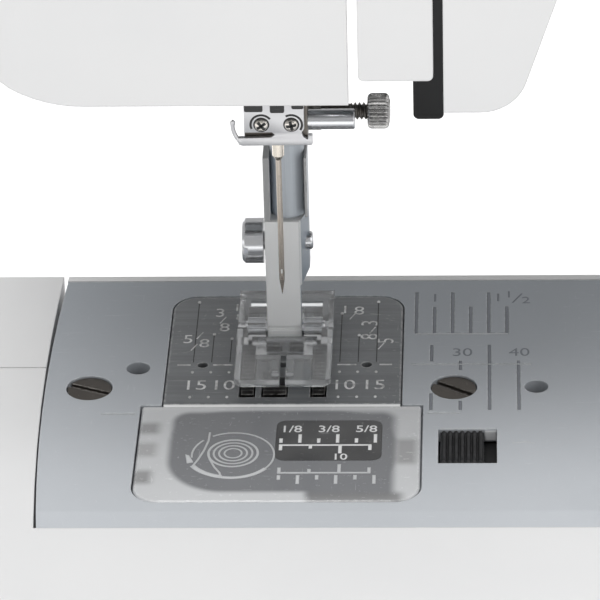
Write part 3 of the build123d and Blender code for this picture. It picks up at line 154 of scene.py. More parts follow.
@dataclass
class MeshBuffer:
    """Collects separate surfaces that end up in one mesh."""

    points: list[np.ndarray] = field(default_factory=list)
    faces: list[list[int]] = field(default_factory=list)
    count: int = 0
    layer: float = 0.0
    layer_step: float = 0.0012

    def add(self, points: np.ndarray, faces: list[list[int]]) -> None:
        """Adds one surface, its face indices moved past the points that are already here."""
        shift = self.count
        self.points.append(np.asarray(points, float).reshape(-1, 3))
        self.faces.extend([[k + shift for k in face] for face in faces])
        self.count += len(self.points[-1])

    def sweep(self, rings: np.ndarray, closed_path: bool = False) -> None:
        """Adds a closed section carried along a path, with flat ends unless the path is closed.

        Args:
            rings: stations x section points x 3.
            closed_path: the last station joins the first.
        """
        rows, cols = rings.shape[:2]
        faces = grid_faces(rows, cols, close_rows=closed_path, close_cols=True)
        if not closed_path:
            faces.append(list(range(cols)))
            faces.append([(rows - 1) * cols + k for k in reversed(range(cols))])
        self.add(rings.reshape(-1, 3), faces)

    def slab(self, outline: np.ndarray, low: float, high: float) -> None:
        """Adds a flat plate: the outline at height low joined to the same outline at height high."""
        flat = np.asarray(outline, float)
        rings = np.stack([np.column_stack([flat, np.full(len(flat), z)]) for z in (low, high)])
        self.sweep(rings)

    def line(self, path: np.ndarray, width: float, low: float, high: float, closed: bool = False) -> None:
        """Adds a flat line: the path moved half a width to each side along its own normal in the plane.

        Args:
            path: the line's middle, rows of X, Y.
            width: the line's width.
            low: height of its underside.
            high: height of its face.
            closed: the path is a loop.

        Each line lies a layer step higher than the one before it, so that crossing lines share no face.
        """
        p = np.asarray(path, float)
        direction = directions(p, closed)
        side = np.stack([-direction[:, 1], direction[:, 0]], axis=-1) * width / 2
        self.layer += self.layer_step
        high += self.layer
        corners = ((side, low), (-side, low), (-side, high), (side, high))
        rings = np.stack([np.column_stack([p + s, np.full(len(p), z)]) for s, z in corners], axis=1)
        self.sweep(rings, closed_path=closed)

    def straight(self, ends: tuple[float, float, float, float], width: float, low: float,
                 high: float) -> None:
        """Adds a straight flat line between two points, given as X, Y, X, Y."""
        self.line(np.reshape(ends, (2, 2)), width, low, high)

    def figures(self, text: str, at: Pair, height: float, low: float, high: float,
                turn: float = 0.0, slant: float = 0.0, bold: float = 0.0) -> None:
        """Adds numbers in the built-in face, lying flat and read from the front.

        Args:
            text: the figures.
            at: their middle, X and Y.
            height: height of a figure.
            low: height of the underside.
            high: height of the face.
            turn: turn about Z in degrees.
            slant: how far the tops lean to the right.
            bold: how far the strokes are widened.
        """
        curve = bpy.data.curves.new("figures", "FONT")
        curve.body = text
        curve.align_x, curve.align_y = "CENTER", "CENTER"
        curve.size, curve.shear, curve.offset = height / 0.7, slant, bold
        curve.resolution_u = 4
        curve.extrude = (high - low) / 2
        holder = bpy.data.objects.new("figures", curve)
        bpy.context.scene.collection.objects.link(holder)
        bpy.context.view_layer.update()
        mesh = bpy.data.meshes.new_from_object(holder)
        co = np.zeros(len(mesh.vertices) * 3)
        mesh.vertices.foreach_get("co", co)
        co = co.reshape(-1, 3)
        c, s = math.cos(math.radians(turn)), math.sin(math.radians(turn))
        x = at[0] + c * co[:, 0] - s * co[:, 1]
        y = at[1] + s * co[:, 0] + c * co[:, 1]
        middle = (low + high) / 2
        self.add(np.column_stack([x, y, co[:, 2] + middle]), [list(f.vertices) for f in mesh.polygons])
        bpy.data.objects.remove(holder)
        bpy.data.meshes.remove(mesh)
        bpy.data.curves.remove(curve)

    def build(self, name: str, finish: Material, slot: str, body: Body,
              smooth_angle: float = 35.0) -> bpy.types.Object:
        """Turns the surfaces into an object with its faces outward, shaded, riding on a body.

        Args:
            name: the piece's name.
            finish: its material.
            slot: the record's material slot that it belongs to; not used.
            body: the moving body it rides on.
            smooth_angle: edges sharper than this stay sharp, in degrees.

        Returns:
            The new object, at the origin, with its place in its mesh.
        """
        mesh = bpy.data.meshes.new(name)
        mesh.from_pydata(to_frame(np.concatenate(self.points)).tolist(), [], self.faces)
        work = bmesh.new()
        work.from_mesh(mesh)
        bmesh.ops.remove_doubles(work, verts=work.verts, dist=1e-7)
        bmesh.ops.recalc_face_normals(work, faces=work.faces)
        work.to_mesh(mesh)
        work.free()
        mesh.shade_smooth()
        mesh.set_sharp_from_angle(angle=math.radians(smooth_angle))
        mesh.materials.append(finish)
        piece = bpy.data.objects.new(name, mesh)
        bpy.context.scene.collection.objects.link(piece)
        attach(piece, body.value)
        LOG.info("%s: %d faces on %s", name, len(mesh.polygons), body.value)
        return piece


# ---- Shared shader effects ----


class Effect(Enum):
    """Shader node groups that more than one finish uses."""

    GRAIN = "mould_grain"
    DRIFT = "colour_drift"
    BRUSHED = "brushed_lines"
    WEAR = "edge_rub_and_glint"
    SCRATCHES = "fine_scratches"
    DUST = "settled_dust"
    PATCH = "soft_patch"


@dataclass
class Graph:
    """A node tree with short ways to add nodes and wires."""

    tree: bpy.types.NodeTree

    def node(self, kind: str, **settings: object) -> bpy.types.Node:
        """Adds a node and sets its properties."""
        made = self.tree.nodes.new(kind)
        for key, value in settings.items():
            setattr(made, key, value)
        return made

    def wire(self, source: Socket, target: Socket) -> None:
        """Links two sockets."""
        self.tree.links.new(source, target)

    def math(self, operation: str, first: object, second: object = 0.0, third: object = 0.0,
             clamp: bool = False) -> Socket:
        """Adds a Math node; each operand is a number or a socket.

        Returns:
            The node's value.
        """
        made = self.node("ShaderNodeMath", operation=operation, use_clamp=clamp)
        for socket, operand in zip(made.inputs, (first, second, third)):
            if isinstance(operand, Socket):
                self.wire(operand, socket)
            else:
                socket.default_value = operand
        return made.outputs[0]

    def vector(self, operation: str, *operands: Socket) -> bpy.types.Node:
        """Adds a Vector Math node that works on the given sockets."""
        made = self.node("ShaderNodeVectorMath", operation=operation)
        for socket, operand in zip(made.inputs, operands):
            self.wire(operand, socket)
        return made

    def scaled(self, vector: Socket, factor: Socket) -> Socket:
        """Adds a product of a vector and a number."""
        made = self.vector("SCALE", vector)
        self.wire(factor, made.inputs["Scale"])
        return made.outputs[0]

    def ramp(self, value: Socket, low: float, high: float, to_low: float = 0.0,
             to_high: float = 1.0) -> Socket:
        """Adds a smooth step: value from low..high to to_low..to_high, eased at both ends."""
        made = self.node("ShaderNodeMapRange", interpolation_type="SMOOTHSTEP")
        self.wire(value, made.inputs["Value"])
        made.inputs["From Min"].default_value = low
        made.inputs["From Max"].default_value = high
        made.inputs["To Min"].default_value = to_low
        made.inputs["To Max"].default_value = to_high
        return made.outputs["Result"]

    def mix(self, factor: object, first: object, second: object) -> Socket:
        """Adds a colour mix; each colour is a socket or three numbers.

        Returns:
            The mixed colour.
        """
        made = self.node("ShaderNodeMix", data_type="RGBA")
        for socket, operand in ((made.inputs[0], factor), (made.inputs[6], first), (made.inputs[7], second)):
            if isinstance(operand, Socket):
                self.wire(operand, socket)
            elif isinstance(operand, (int, float)):
                socket.default_value = operand
            else:
                socket.default_value = (*operand, 1.0)
        return made.outputs[2]

    def noise(self, vector: Socket, scale: object, detail: float = 3.0, rough: float = 0.5,
              stretch: Triple | None = None) -> Socket:
        """Adds a noise texture, with its pattern squeezed along each axis by stretch.

        Returns:
            Its value, 0 to 1.
        """
        if stretch is not None:
            mapping = self.node("ShaderNodeMapping")
            mapping.inputs["Scale"].default_value = stretch
            self.wire(vector, mapping.inputs["Vector"])
            vector = mapping.outputs["Vector"]
        made = self.node("ShaderNodeTexNoise")
        self.wire(vector, made.inputs["Vector"])
        if isinstance(scale, Socket):
            self.wire(scale, made.inputs["Scale"])
        else:
            made.inputs["Scale"].default_value = scale
        made.inputs["Detail"].default_value = detail
        made.inputs["Roughness"].default_value = rough
        return made.outputs["Fac"]


@dataclass
class EffectGroup:
    """A shader node group while it is being built."""

    effect: Effect
    inputs: dict[str, tuple[str, object]]
    outputs: dict[str, str]

    def open(self) -> tuple[Graph, dict[str, Socket], bpy.types.Node]:
        """Makes the group's sockets.

        Returns:
            The graph, the inputs by name, and the output node.
        """
        tree = bpy.data.node_groups.new(self.effect.value, "ShaderNodeTree")
        for name, (kind, value) in self.inputs.items():
            socket = tree.interface.new_socket(name, in_out="INPUT", socket_type=kind)
            if value is not None:
                socket.default_value = value
        for name, kind in self.outputs.items():
            tree.interface.new_socket(name, in_out="OUTPUT", socket_type=kind)
        graph = Graph(tree)
        entry = graph.node("NodeGroupInput")
        leave = graph.node("NodeGroupOutput")
        return graph, {name: entry.outputs[name] for name in self.inputs}, leave


FLOAT, COLOUR, VECTOR = "NodeSocketFloat", "NodeSocketColor", "NodeSocketVector"


def make_effects() -> None:
    """Builds every shared node group once."""
    graph, given, out = EffectGroup(
        Effect.GRAIN, {"Vector": (VECTOR, None), "Scale": (FLOAT, 2500.0)}, {"Height": FLOAT, "Shade": FLOAT}
    ).open()
    fine = graph.noise(given["Vector"], given["Scale"], detail=2.0)
    coarse = graph.noise(given["Vector"], graph.math("MULTIPLY", given["Scale"], 0.23), detail=3.0)
    height = graph.math("MULTIPLY_ADD", fine, 0.6, graph.math("MULTIPLY", coarse, 0.4))
    graph.wire(height, out.inputs["Height"])
    graph.wire(coarse, out.inputs["Shade"])

    graph, given, out = EffectGroup(
        Effect.DRIFT,
        {"Vector": (VECTOR, None), "Scale": (FLOAT, 30.0), "Base": (COLOUR, None), "Shade": (COLOUR, None)},
        {"Colour": COLOUR},
    ).open()
    large = graph.noise(given["Vector"], given["Scale"], detail=4.0, rough=0.6)
    graph.wire(graph.mix(graph.ramp(large, 0.32, 0.72), given["Base"], given["Shade"]), out.inputs["Colour"])

    graph, given, out = EffectGroup(
        Effect.BRUSHED,
        {"Vector": (VECTOR, None), "Along": (VECTOR, (1.0, 30.0, 30.0)), "Scale": (FLOAT, 60.0)},
        {"Height": FLOAT, "Streak": FLOAT},
    ).open()
    squeezed = graph.vector("MULTIPLY", given["Vector"], given["Along"]).outputs[0]
    lines = graph.noise(squeezed, given["Scale"], detail=5.0, rough=0.7)
    broad = graph.noise(squeezed, graph.math("MULTIPLY", given["Scale"], 0.2), detail=2.0)
    graph.wire(lines, out.inputs["Height"])
    streak = graph.math("MULTIPLY_ADD", lines, 0.5, graph.math("MULTIPLY", broad, 0.5))
    graph.wire(streak, out.inputs["Streak"])

    # Edge wear with a painted glint: edges found by the bevel normal, broken up by noise, for the finishes to
    # lighten.
    graph, given, out = EffectGroup(
        Effect.WEAR, {"Vector": (VECTOR, None), "Amount": (FLOAT, 0.5)}, {"Mask": FLOAT}
    ).open()
    bevel = graph.node("ShaderNodeBevel", samples=4)
    bevel.inputs["Radius"].default_value = 0.00045
    surface = graph.node("ShaderNodeNewGeometry")
    dot = graph.vector("DOT_PRODUCT", bevel.outputs["Normal"], surface.outputs["Normal"])
    rim = graph.ramp(dot.outputs["Value"], 0.995, 0.90)
    broken = graph.ramp(graph.noise(given["Vector"], 900.0, detail=4.0, rough=0.7), 0.35, 0.62)
    rubbed = graph.math("MULTIPLY", rim, broken)
    graph.wire(graph.math("MULTIPLY", rubbed, given["Amount"]), out.inputs["Mask"])

    graph, given, out = EffectGroup(
        Effect.SCRATCHES,
        {"Vector": (VECTOR, None), "Scale": (FLOAT, 90.0), "Amount": (FLOAT, 0.5)},
        {"Mask": FLOAT},
    ).open()
    bent = graph.noise(given["Vector"], graph.math("MULTIPLY", given["Scale"], 0.4), detail=1.0)
    swerved = graph.scaled(given["Vector"], graph.math("MULTIPLY_ADD", bent, 0.25, 0.9))
    first = graph.noise(swerved, given["Scale"], detail=3.0, stretch=(1.0, 22.0, 22.0))
    second = graph.noise(swerved, given["Scale"], detail=3.0, stretch=(26.0, 2.0, 26.0))
    both = graph.math("MAXIMUM", graph.ramp(first, 0.66, 0.72), graph.ramp(second, 0.68, 0.74))
    graph.wire(graph.math("MULTIPLY", both, given["Amount"]), out.inputs["Mask"])

    graph, given, out = EffectGroup(
        Effect.DUST, {"Vector": (VECTOR, None), "Amount": (FLOAT, 0.3)}, {"Mask": FLOAT}
    ).open()
    surface = graph.node("ShaderNodeNewGeometry")
    axes = graph.node("ShaderNodeSeparateXYZ")
    graph.wire(surface.outputs["Normal"], axes.inputs[0])
    upward = graph.ramp(axes.outputs["Z"], 0.3, 0.95)
    specks = graph.ramp(graph.noise(given["Vector"], 1400.0, detail=2.0, rough=0.8), 0.66, 0.76)
    patches = graph.noise(given["Vector"], 55.0, detail=3.0)
    settled = graph.math("MULTIPLY", upward, graph.math("MULTIPLY", specks, patches))
    graph.wire(graph.math("MULTIPLY", settled, given["Amount"]), out.inputs["Mask"])

    graph, given, out = EffectGroup(
        Effect.PATCH,
        {"Vector": (VECTOR, None), "Centre": (VECTOR, (0.0, 0.0, 0.0)), "Half": (VECTOR, (0.01, 0.01, 1.0)),
         "Round": (FLOAT, 0.002), "Soft": (FLOAT, 0.001)},
        {"Mask": FLOAT},
    ).open()
    away = graph.vector("SUBTRACT", given["Vector"], given["Centre"])
    folded = graph.vector("ABSOLUTE", away.outputs[0])
    beyond = graph.vector("SUBTRACT", folded.outputs[0], given["Half"])
    outside = graph.vector("MAXIMUM", beyond.outputs[0])
    reach = graph.vector("LENGTH", outside.outputs[0])
    depth = graph.math("SUBTRACT", reach.outputs["Value"], given["Round"])
    share = graph.math("DIVIDE", depth, given["Soft"])
    graph.wire(graph.ramp(share, 1.0, -1.0), out.inputs["Mask"])


# ---- Finishes ----


@dataclass(frozen=True)
class Finish:
    """What one surface is made of, how it has aged, and the glint painted on its edges.

    Attributes:
        slot: the record's material slot.
        colour: its colour.
        shade: the colour that it drifts to in patches.
        roughness: how dull it is.
        rough_drift: how much dullness changes over the surface.
        metallic: 1 for bare metal.
        coat: weight of a clear coat.
        grain: size of the surface grain, patterns in a metre.
        relief: height of the grain in metres.
        brush: squeeze of the brushing pattern along X, Y and Z, or nothing.
        edge: radius that edges look rounded to, in metres.
        wear: how far edges are rubbed and lightened, partly real wear and partly a painted glint.
        worn_and_glint: the colour of rubbed edges and scratches, also a painted glint along edges.
        scratches: weight of fine scratches.
        dust: weight of dust on upward faces.
        specular: reflectance level of the shader.
        transmission: 1 for clear material.
        ior: index of refraction.
        variant: name of a second finish in the same slot, or empty.
        drift_scale: how many drift patches there are in a metre.
    """

    slot: str
    colour: Triple
    shade: Triple
    roughness: float
    rough_drift: float = 0.08
    metallic: float = 0.0
    coat: float = 0.0
    grain: float = 2500.0
    relief: float = 0.000008
    brush: Triple | None = None
    edge: float = 0.00035
    wear: float = 0.3
    worn_and_glint: Triple = (0.9, 0.9, 0.9)
    scratches: float = 0.15
    dust: float = 0.1
    specular: float = 0.5
    transmission: float = 0.0
    ior: float = 1.49
    variant: str = ""
    drift_scale: float = 28.0

    @property
    def key(self) -> str:
        """The name this finish is looked up by."""
        return self.variant or self.slot

    def effect(self, graph: Graph, which: Effect, vector: Socket, **values: object) -> bpy.types.Node:
        """Places a shared effect in this finish with its own values."""
        made = graph.node("ShaderNodeGroup", node_tree=bpy.data.node_groups[which.value])
        graph.wire(vector, made.inputs["Vector"])
        for name, value in values.items():
            tone = made.inputs[name].type == "RGBA"
            made.inputs[name].default_value = (*value, 1.0) if tone else value
        return made

    def paint(self, graph: Graph, vector: Socket) -> Socket:
        """The colour before the rubbed edges with their painted glint, and dust: a slow drift between two
        tones.
        """
        drift = self.effect(graph, Effect.DRIFT, vector, Scale=self.drift_scale, Base=self.colour,
                            Shade=self.shade)
        return drift.outputs["Colour"]

    def build(self) -> Material:
        """Makes the material.

        Returns:
            A material of one Principled shader with its colour, dullness and relief from noise.
        """
        material = bpy.data.materials.new(self.key + "_finish")
        material.use_nodes = True
        graph = Graph(material.node_tree)
        shader = material.node_tree.nodes["Principled BSDF"]
        place = graph.node("ShaderNodeTexCoord").outputs["Object"]
        colour = self.paint(graph, place)
        grain = self.effect(graph, Effect.GRAIN, place, Scale=self.grain)
        height = grain.outputs["Height"]
        smoothest = self.roughness - self.rough_drift / 2
        rough = graph.math("MULTIPLY_ADD", grain.outputs["Shade"], self.rough_drift, smoothest)
        if self.brush is not None:
            brushed = self.effect(graph, Effect.BRUSHED, place, Along=self.brush)
            height = graph.math("MULTIPLY", height, 0.2)
            height = graph.math("MULTIPLY_ADD", brushed.outputs["Height"], 0.8, height)
            streak = graph.ramp(brushed.outputs["Streak"], 0.38, 0.62, 0.82, 1.0)
            colour = graph.scaled(colour, streak)
            rough = graph.math("MULTIPLY_ADD", brushed.outputs["Streak"], self.rough_drift * 2, rough)
        if self.scratches > 0.0:
            scratched = self.effect(graph, Effect.SCRATCHES, place, Amount=self.scratches)
            colour = graph.mix(scratched.outputs["Mask"], colour, self.worn_and_glint)
            rough = graph.math("MULTIPLY_ADD", scratched.outputs["Mask"], 0.2, rough, clamp=True)
        # rubbed edges, lightened partly as real wear and partly as a painted glint
        if self.wear > 0.0:
            worn_and_glint = self.effect(graph, Effect.WEAR, place, Amount=self.wear)
            colour = graph.mix(worn_and_glint.outputs["Mask"], colour, self.worn_and_glint)
        if self.dust > 0.0:
            dusty = self.effect(graph, Effect.DUST, place, Amount=self.dust)
            colour = graph.mix(dusty.outputs["Mask"], colour, (0.55, 0.54, 0.52))
            rough = graph.math("ADD", rough, dusty.outputs["Mask"], clamp=True)
        graph.wire(colour, shader.inputs["Base Color"])
        graph.wire(rough, shader.inputs["Roughness"])
        bump = graph.node("ShaderNodeBump")
        bump.inputs["Distance"].default_value = self.relief
        graph.wire(height, bump.inputs["Height"])
        rounded = graph.node("ShaderNodeBevel", samples=4)
        rounded.inputs["Radius"].default_value = self.edge
        graph.wire(rounded.outputs["Normal"], bump.inputs["Normal"])
        graph.wire(bump.outputs["Normal"], shader.inputs["Normal"])
        shader.inputs["Metallic"].default_value = self.metallic
        shader.inputs["Coat Weight"].default_value = self.coat
        shader.inputs["Coat Roughness"].default_value = 0.08
        shader.inputs["Specular IOR Level"].default_value = self.specular
        shader.inputs["Transmission Weight"].default_value = self.transmission
        shader.inputs["IOR"].default_value = self.ior
        return material


FINISHES: tuple[Finish, ...] = (
    Finish("casing_white", (0.755, 0.755, 0.755), (0.735, 0.737, 0.74), 0.42, 0.06, coat=0.12,
           relief=0.000006, wear=0.0, scratches=0.02, dust=0.05),
    Finish("insert_steel", (0.31, 0.32, 0.33), (0.26, 0.27, 0.28), 0.38, 0.14, metallic=0.65,
           brush=(1.0, 30.0, 30.0), wear=0.8, worn_and_glint=(0.8, 0.8, 0.8), scratches=0.25, dust=0.1),
    Finish("bright_steel", (0.80, 0.81, 0.83), (0.74, 0.75, 0.78), 0.16, 0.08, metallic=1.0, relief=0.000003,
           wear=0.5, worn_and_glint=(0.95, 0.95, 0.95), scratches=0.12, dust=0.05),
    Finish("shaft_steel", (0.70, 0.75, 0.80), (0.64, 0.69, 0.74), 0.42, 0.10, metallic=0.3,
           brush=(12.0, 12.0, 0.4), wear=0.4, scratches=0.1, dust=0.02),
    Finish("dark_steel", (0.16, 0.145, 0.13), (0.12, 0.11, 0.10), 0.36, 0.12, metallic=1.0, wear=0.7,
           worn_and_glint=(0.5, 0.48, 0.45), scratches=0.2, dust=0.1),
    Finish("black_plastic", (0.012, 0.012, 0.0125), (0.018, 0.018, 0.019), 0.44, 0.10, relief=0.000014,
           specular=0.35, wear=0.35, worn_and_glint=(0.16, 0.16, 0.17), scratches=0.06, dust=0.12),
    Finish("grey_plastic", (0.29, 0.30, 0.32), (0.26, 0.27, 0.29), 0.42, relief=0.000012, wear=0.3,
           worn_and_glint=(0.5, 0.5, 0.52), scratches=0.06),
    Finish("clear_plastic", (0.93, 0.94, 0.95), (0.90, 0.92, 0.93), 0.08, 0.04, relief=0.000002, wear=0.0,
           scratches=0.0, dust=0.0, transmission=0.86, edge=0.0003),
    Finish("smoked_plastic", (0.56, 0.57, 0.58), (0.52, 0.53, 0.54), 0.30, 0.08, relief=0.000006, wear=0.5,
           worn_and_glint=(0.85, 0.86, 0.87), scratches=0.12, dust=0.1, coat=0.3),
    Finish("belt_rubber", (0.02, 0.02, 0.02), (0.03, 0.03, 0.03), 0.7, relief=0.00003, wear=0.2),
    Finish("foot_rubber", (0.035, 0.035, 0.036), (0.05, 0.05, 0.05), 0.75, relief=0.00004, wear=0.2),
    Finish("frame_cast", (0.34, 0.35, 0.36), (0.28, 0.29, 0.30), 0.55, metallic=0.9, grain=1200.0,
           relief=0.00006),
    Finish("motor_steel", (0.08, 0.08, 0.085), (0.06, 0.06, 0.065), 0.4, metallic=0.3, relief=0.00002),
    Finish("lamp_white", (0.86, 0.86, 0.82), (0.80, 0.80, 0.76), 0.3, wear=0.0, scratches=0.0),
    Finish("screen_glass", (0.035, 0.045, 0.05), (0.03, 0.038, 0.044), 0.08, 0.03, coat=1.0, relief=0.000001,
           wear=0.0, scratches=0.02),
    Finish("panel_grey", (0.46, 0.47, 0.49), (0.43, 0.44, 0.46), 0.38, relief=0.000008, wear=0.15),
)

EXTRA_FINISHES: tuple[Finish, ...] = (
    Finish("satin_plate", (0.235, 0.25, 0.275), (0.215, 0.23, 0.255), 0.6, wear=0.0, scratches=0.05,
           variant="guide_dark"),
    # light lines of the bed plate: painted highlight on its real engraved level lines
    Finish("satin_plate", (0.62, 0.64, 0.66), (0.56, 0.58, 0.60), 0.4, wear=0.0, scratches=0.05,
           variant="guide_highlight"),
    # glints painted on the etched marks of the needle plate, broken up by a fine drift
    Finish("insert_steel", (0.88, 0.88, 0.88), (0.40, 0.40, 0.40), 0.32, wear=0.0, variant="etched_glint",
           drift_scale=900.0),
    # dark fill of the scribed lines, also used as painted shade in the clamp plate's slots and screw recesses
    Finish("insert_steel", (0.035, 0.035, 0.036), (0.05, 0.05, 0.05), 0.5, wear=0.0, variant="scribes_and_shade_dark"),
    # white print of the cover, also used as the painted highlight along the needle plate's front edge
    Finish("smoked_plastic", (0.90, 0.90, 0.90), (0.84, 0.84, 0.84), 0.4, wear=0.0, scratches=0.03,
           variant="print_and_highlight_white"),
    Finish("smoked_plastic", (0.60, 0.61, 0.62), (0.54, 0.55, 0.56), 0.35, wear=0.0, scratches=0.05,
           variant="print_pale"),
    # dark sheet of the cover's window: the black bobbin case under it, and painted shade in its hollow
    Finish("smoked_plastic", (0.03, 0.03, 0.032), (0.09, 0.09, 0.09), 0.3, coat=0.1, wear=0.0, scratches=0.1,
           variant="window_case_and_shade"),
    Finish("dark_steel", (0.46, 0.455, 0.45), (0.30, 0.295, 0.29), 0.24, 0.12, metallic=1.0, wear=0.9,
           worn_and_glint=(0.95, 0.94, 0.92), scratches=0.2, edge=0.00012, variant="knob_steel"),
    Finish("bright_steel", (0.66, 0.66, 0.67), (0.60, 0.60, 0.62), 0.34, 0.10, metallic=0.9, wear=0.8,
           worn_and_glint=(0.92, 0.92, 0.92), scratches=0.15, edge=0.00015, variant="nickel"),
    Finish("dark_steel", (0.86, 0.82, 0.76), (0.74, 0.70, 0.64), 0.24, 0.10, metallic=1.0, wear=0.5,
           worn_and_glint=(0.97, 0.95, 0.92), scratches=0.1, edge=0.0001, variant="screw_nickel"),
    Finish("dark_steel", (0.06, 0.057, 0.054), (0.03, 0.03, 0.03), 0.34, 0.12, metallic=0.9, wear=1.0,
           worn_and_glint=(0.45, 0.44, 0.42), scratches=0.2, edge=0.00012, variant="feed_steel"),
    Finish("casing_white", (0.62, 0.63, 0.64), (0.56, 0.57, 0.58), 0.5, wear=0.0, variant="stop_pale"),
)


@dataclass(frozen=True)
class FadedFinish(Finish):
    """A finish that changes along one axis, and can be darker on the faces turned to +X: painted shade and
    highlight in its colour.

    Attributes:
        axis: 0, 1 or 2 for X, Y or Z.
        span: where the change starts and ends, millimetres from the needle's drop point.
        far: tone past the end of the span.
        side: painted shade of the faces turned to +X, away from the key light, or None.
    """

    axis: int = 1
    span: Pair = (0.0, 1.0)
    far: Triple = (0.5, 0.5, 0.5)
    side: Triple | None = None

    def paint(self, graph: Graph, vector: Socket) -> Socket:
        """The drift, then the fade along the axis and the painted side shade."""
        colour = Finish.paint(self, graph, vector)
        place = graph.node("ShaderNodeSeparateXYZ")
        graph.wire(vector, place.inputs[0])
        low, high = ((NEEDLE_POINT[self.axis] + edge) * MM for edge in self.span)
        colour = graph.mix(graph.ramp(place.outputs[self.axis], low, high), colour, self.far)
        # painted shade on the faces turned away from the key light
        if self.side is not None:
            facing = graph.node("ShaderNodeSeparateXYZ")
            graph.wire(graph.node("ShaderNodeNewGeometry").outputs["Normal"], facing.inputs[0])
            colour = graph.mix(graph.ramp(facing.outputs["X"], 0.35, 0.7), colour, self.side)
        return colour


FADED_FINISHES: tuple[FadedFinish, ...] = (
    # bed plate: painted shade, darker towards the rear where the head hangs over it
    FadedFinish("satin_plate", (0.58, 0.605, 0.635), (0.55, 0.575, 0.605), 0.42, 0.10, metallic=0.2,
                grain=5200.0, relief=0.00001, wear=0.6, worn_and_glint=(0.86, 0.88, 0.90), scratches=0.10, dust=0.12,
                axis=1, span=(-46.0, 30.0), far=(0.37, 0.395, 0.425)),
    # ankle: dark grey above 26 mm, and painted shade on the faces turned to +X
    FadedFinish("ankle_paint", (0.92, 0.93, 0.93), (0.88, 0.89, 0.89), 0.34, 0.10, metallic=0.1, grain=3600.0,
                relief=0.000012, wear=0.5, worn_and_glint=(0.90, 0.89, 0.87), scratches=0.1, dust=0.05,
                axis=2, span=(25.6, 26.2), far=(0.40, 0.405, 0.41), side=(0.27, 0.31, 0.36)),
    # needle: much lighter above 41.2 mm, a painted highlight on the shank
    FadedFinish("bright_steel", (0.64, 0.57, 0.50), (0.52, 0.46, 0.40), 0.24, 0.10, metallic=1.0, wear=0.0,
                scratches=0.05, edge=0.0001, variant="needle_steel",
                axis=2, span=(40.2, 41.2), far=(0.93, 0.86, 0.76)),
)


@dataclass(frozen=True)
class FrostedCover(Finish):
    """Clear cover frosted from below, drawn opaque, with painted shade over the bobbin's hollow and the ribs
    under it.

    Attributes:
        well_shade: painted shade over the bobbin's hollow.
        patches: painted shade of the ribs under the cover: centre X, Y, half width, half depth in
            millimetres, tone.
    """

    well_shade: Triple = (0.185, 0.19, 0.20)
    patches: tuple[tuple[float, float, float, float, float], ...] = (
        (-22.2, -20.6, 0.9, 0.9, 0.27), (-22.6, -27.4, 1.2, 1.3, 0.36), (-22.8, -35.9, 1.0, 1.2, 0.25),
        (21.4, -28.1, 0.9, 3.0, 0.30), (13.0, -42.2, 7.0, 0.6, 0.20),
    )

    def paint(self, graph: Graph, vector: Socket) -> Socket:
        """The frost's drift, then painted shade over the bobbin's hollow and each rib, laid over it with soft
        edges, and a slightly lighter line along the rear edge.
        """
        colour = Finish.paint(self, graph, vector)
        # painted shade: the hollow under the window, then each rib; last, a slightly lighter line along the
        # rear edge
        areas = [(0.45, -27.9, 9.1, 2.8, 9.8, 0.8, self.well_shade), (-3.0, -20.2, 12.2, 1.6, 3.0, 0.8, self.well_shade),
                 (6.0, -24.0, 11.0, 6.0, 2.4, 1.2, self.well_shade), (12.2, -33.0, 6.0, 8.0, 1.2, 1.0, self.well_shade)]
        areas += [(x, y, hx, hy, 0.7, 1.3, (tone, tone, tone * 1.01)) for x, y, hx, hy, tone in self.patches]
        areas.append((0.0, -14.4, 24.0, 0.25, 0.1, 0.35, (0.60, 0.60, 0.61)))
        for x, y, half_x, half_y, rounding, soft, tone in areas:
            centre = (NEEDLE_POINT + np.array([x, y, 0.0])) * MM
            half = (half_x * MM, half_y * MM, 1.0)
            patch = self.effect(graph, Effect.PATCH, vector, Centre=tuple(centre), Half=half,
                                Round=rounding * MM, Soft=soft * MM)
            colour = graph.mix(patch.outputs["Mask"], colour, tone)
        return colour


COVER_FINISH = FrostedCover("smoked_plastic", (0.58, 0.59, 0.60), (0.53, 0.54, 0.55), 0.26, 0.08,
                            relief=0.000006, wear=0.7, worn_and_glint=(0.80, 0.81, 0.82), scratches=0.1,
                            dust=0.1, coat=0.35)


def dress_nodes(finishes: dict[str, Material]) -> None:
    """Gives each node of the part the finish that its material slot names."""
    for name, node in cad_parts.items():
        for holder in node.material_slots:
            holder.material = finishes[holder.material.name.split(".")[0]]
        LOG.info("%s dressed", name)


# ---- Studio ----


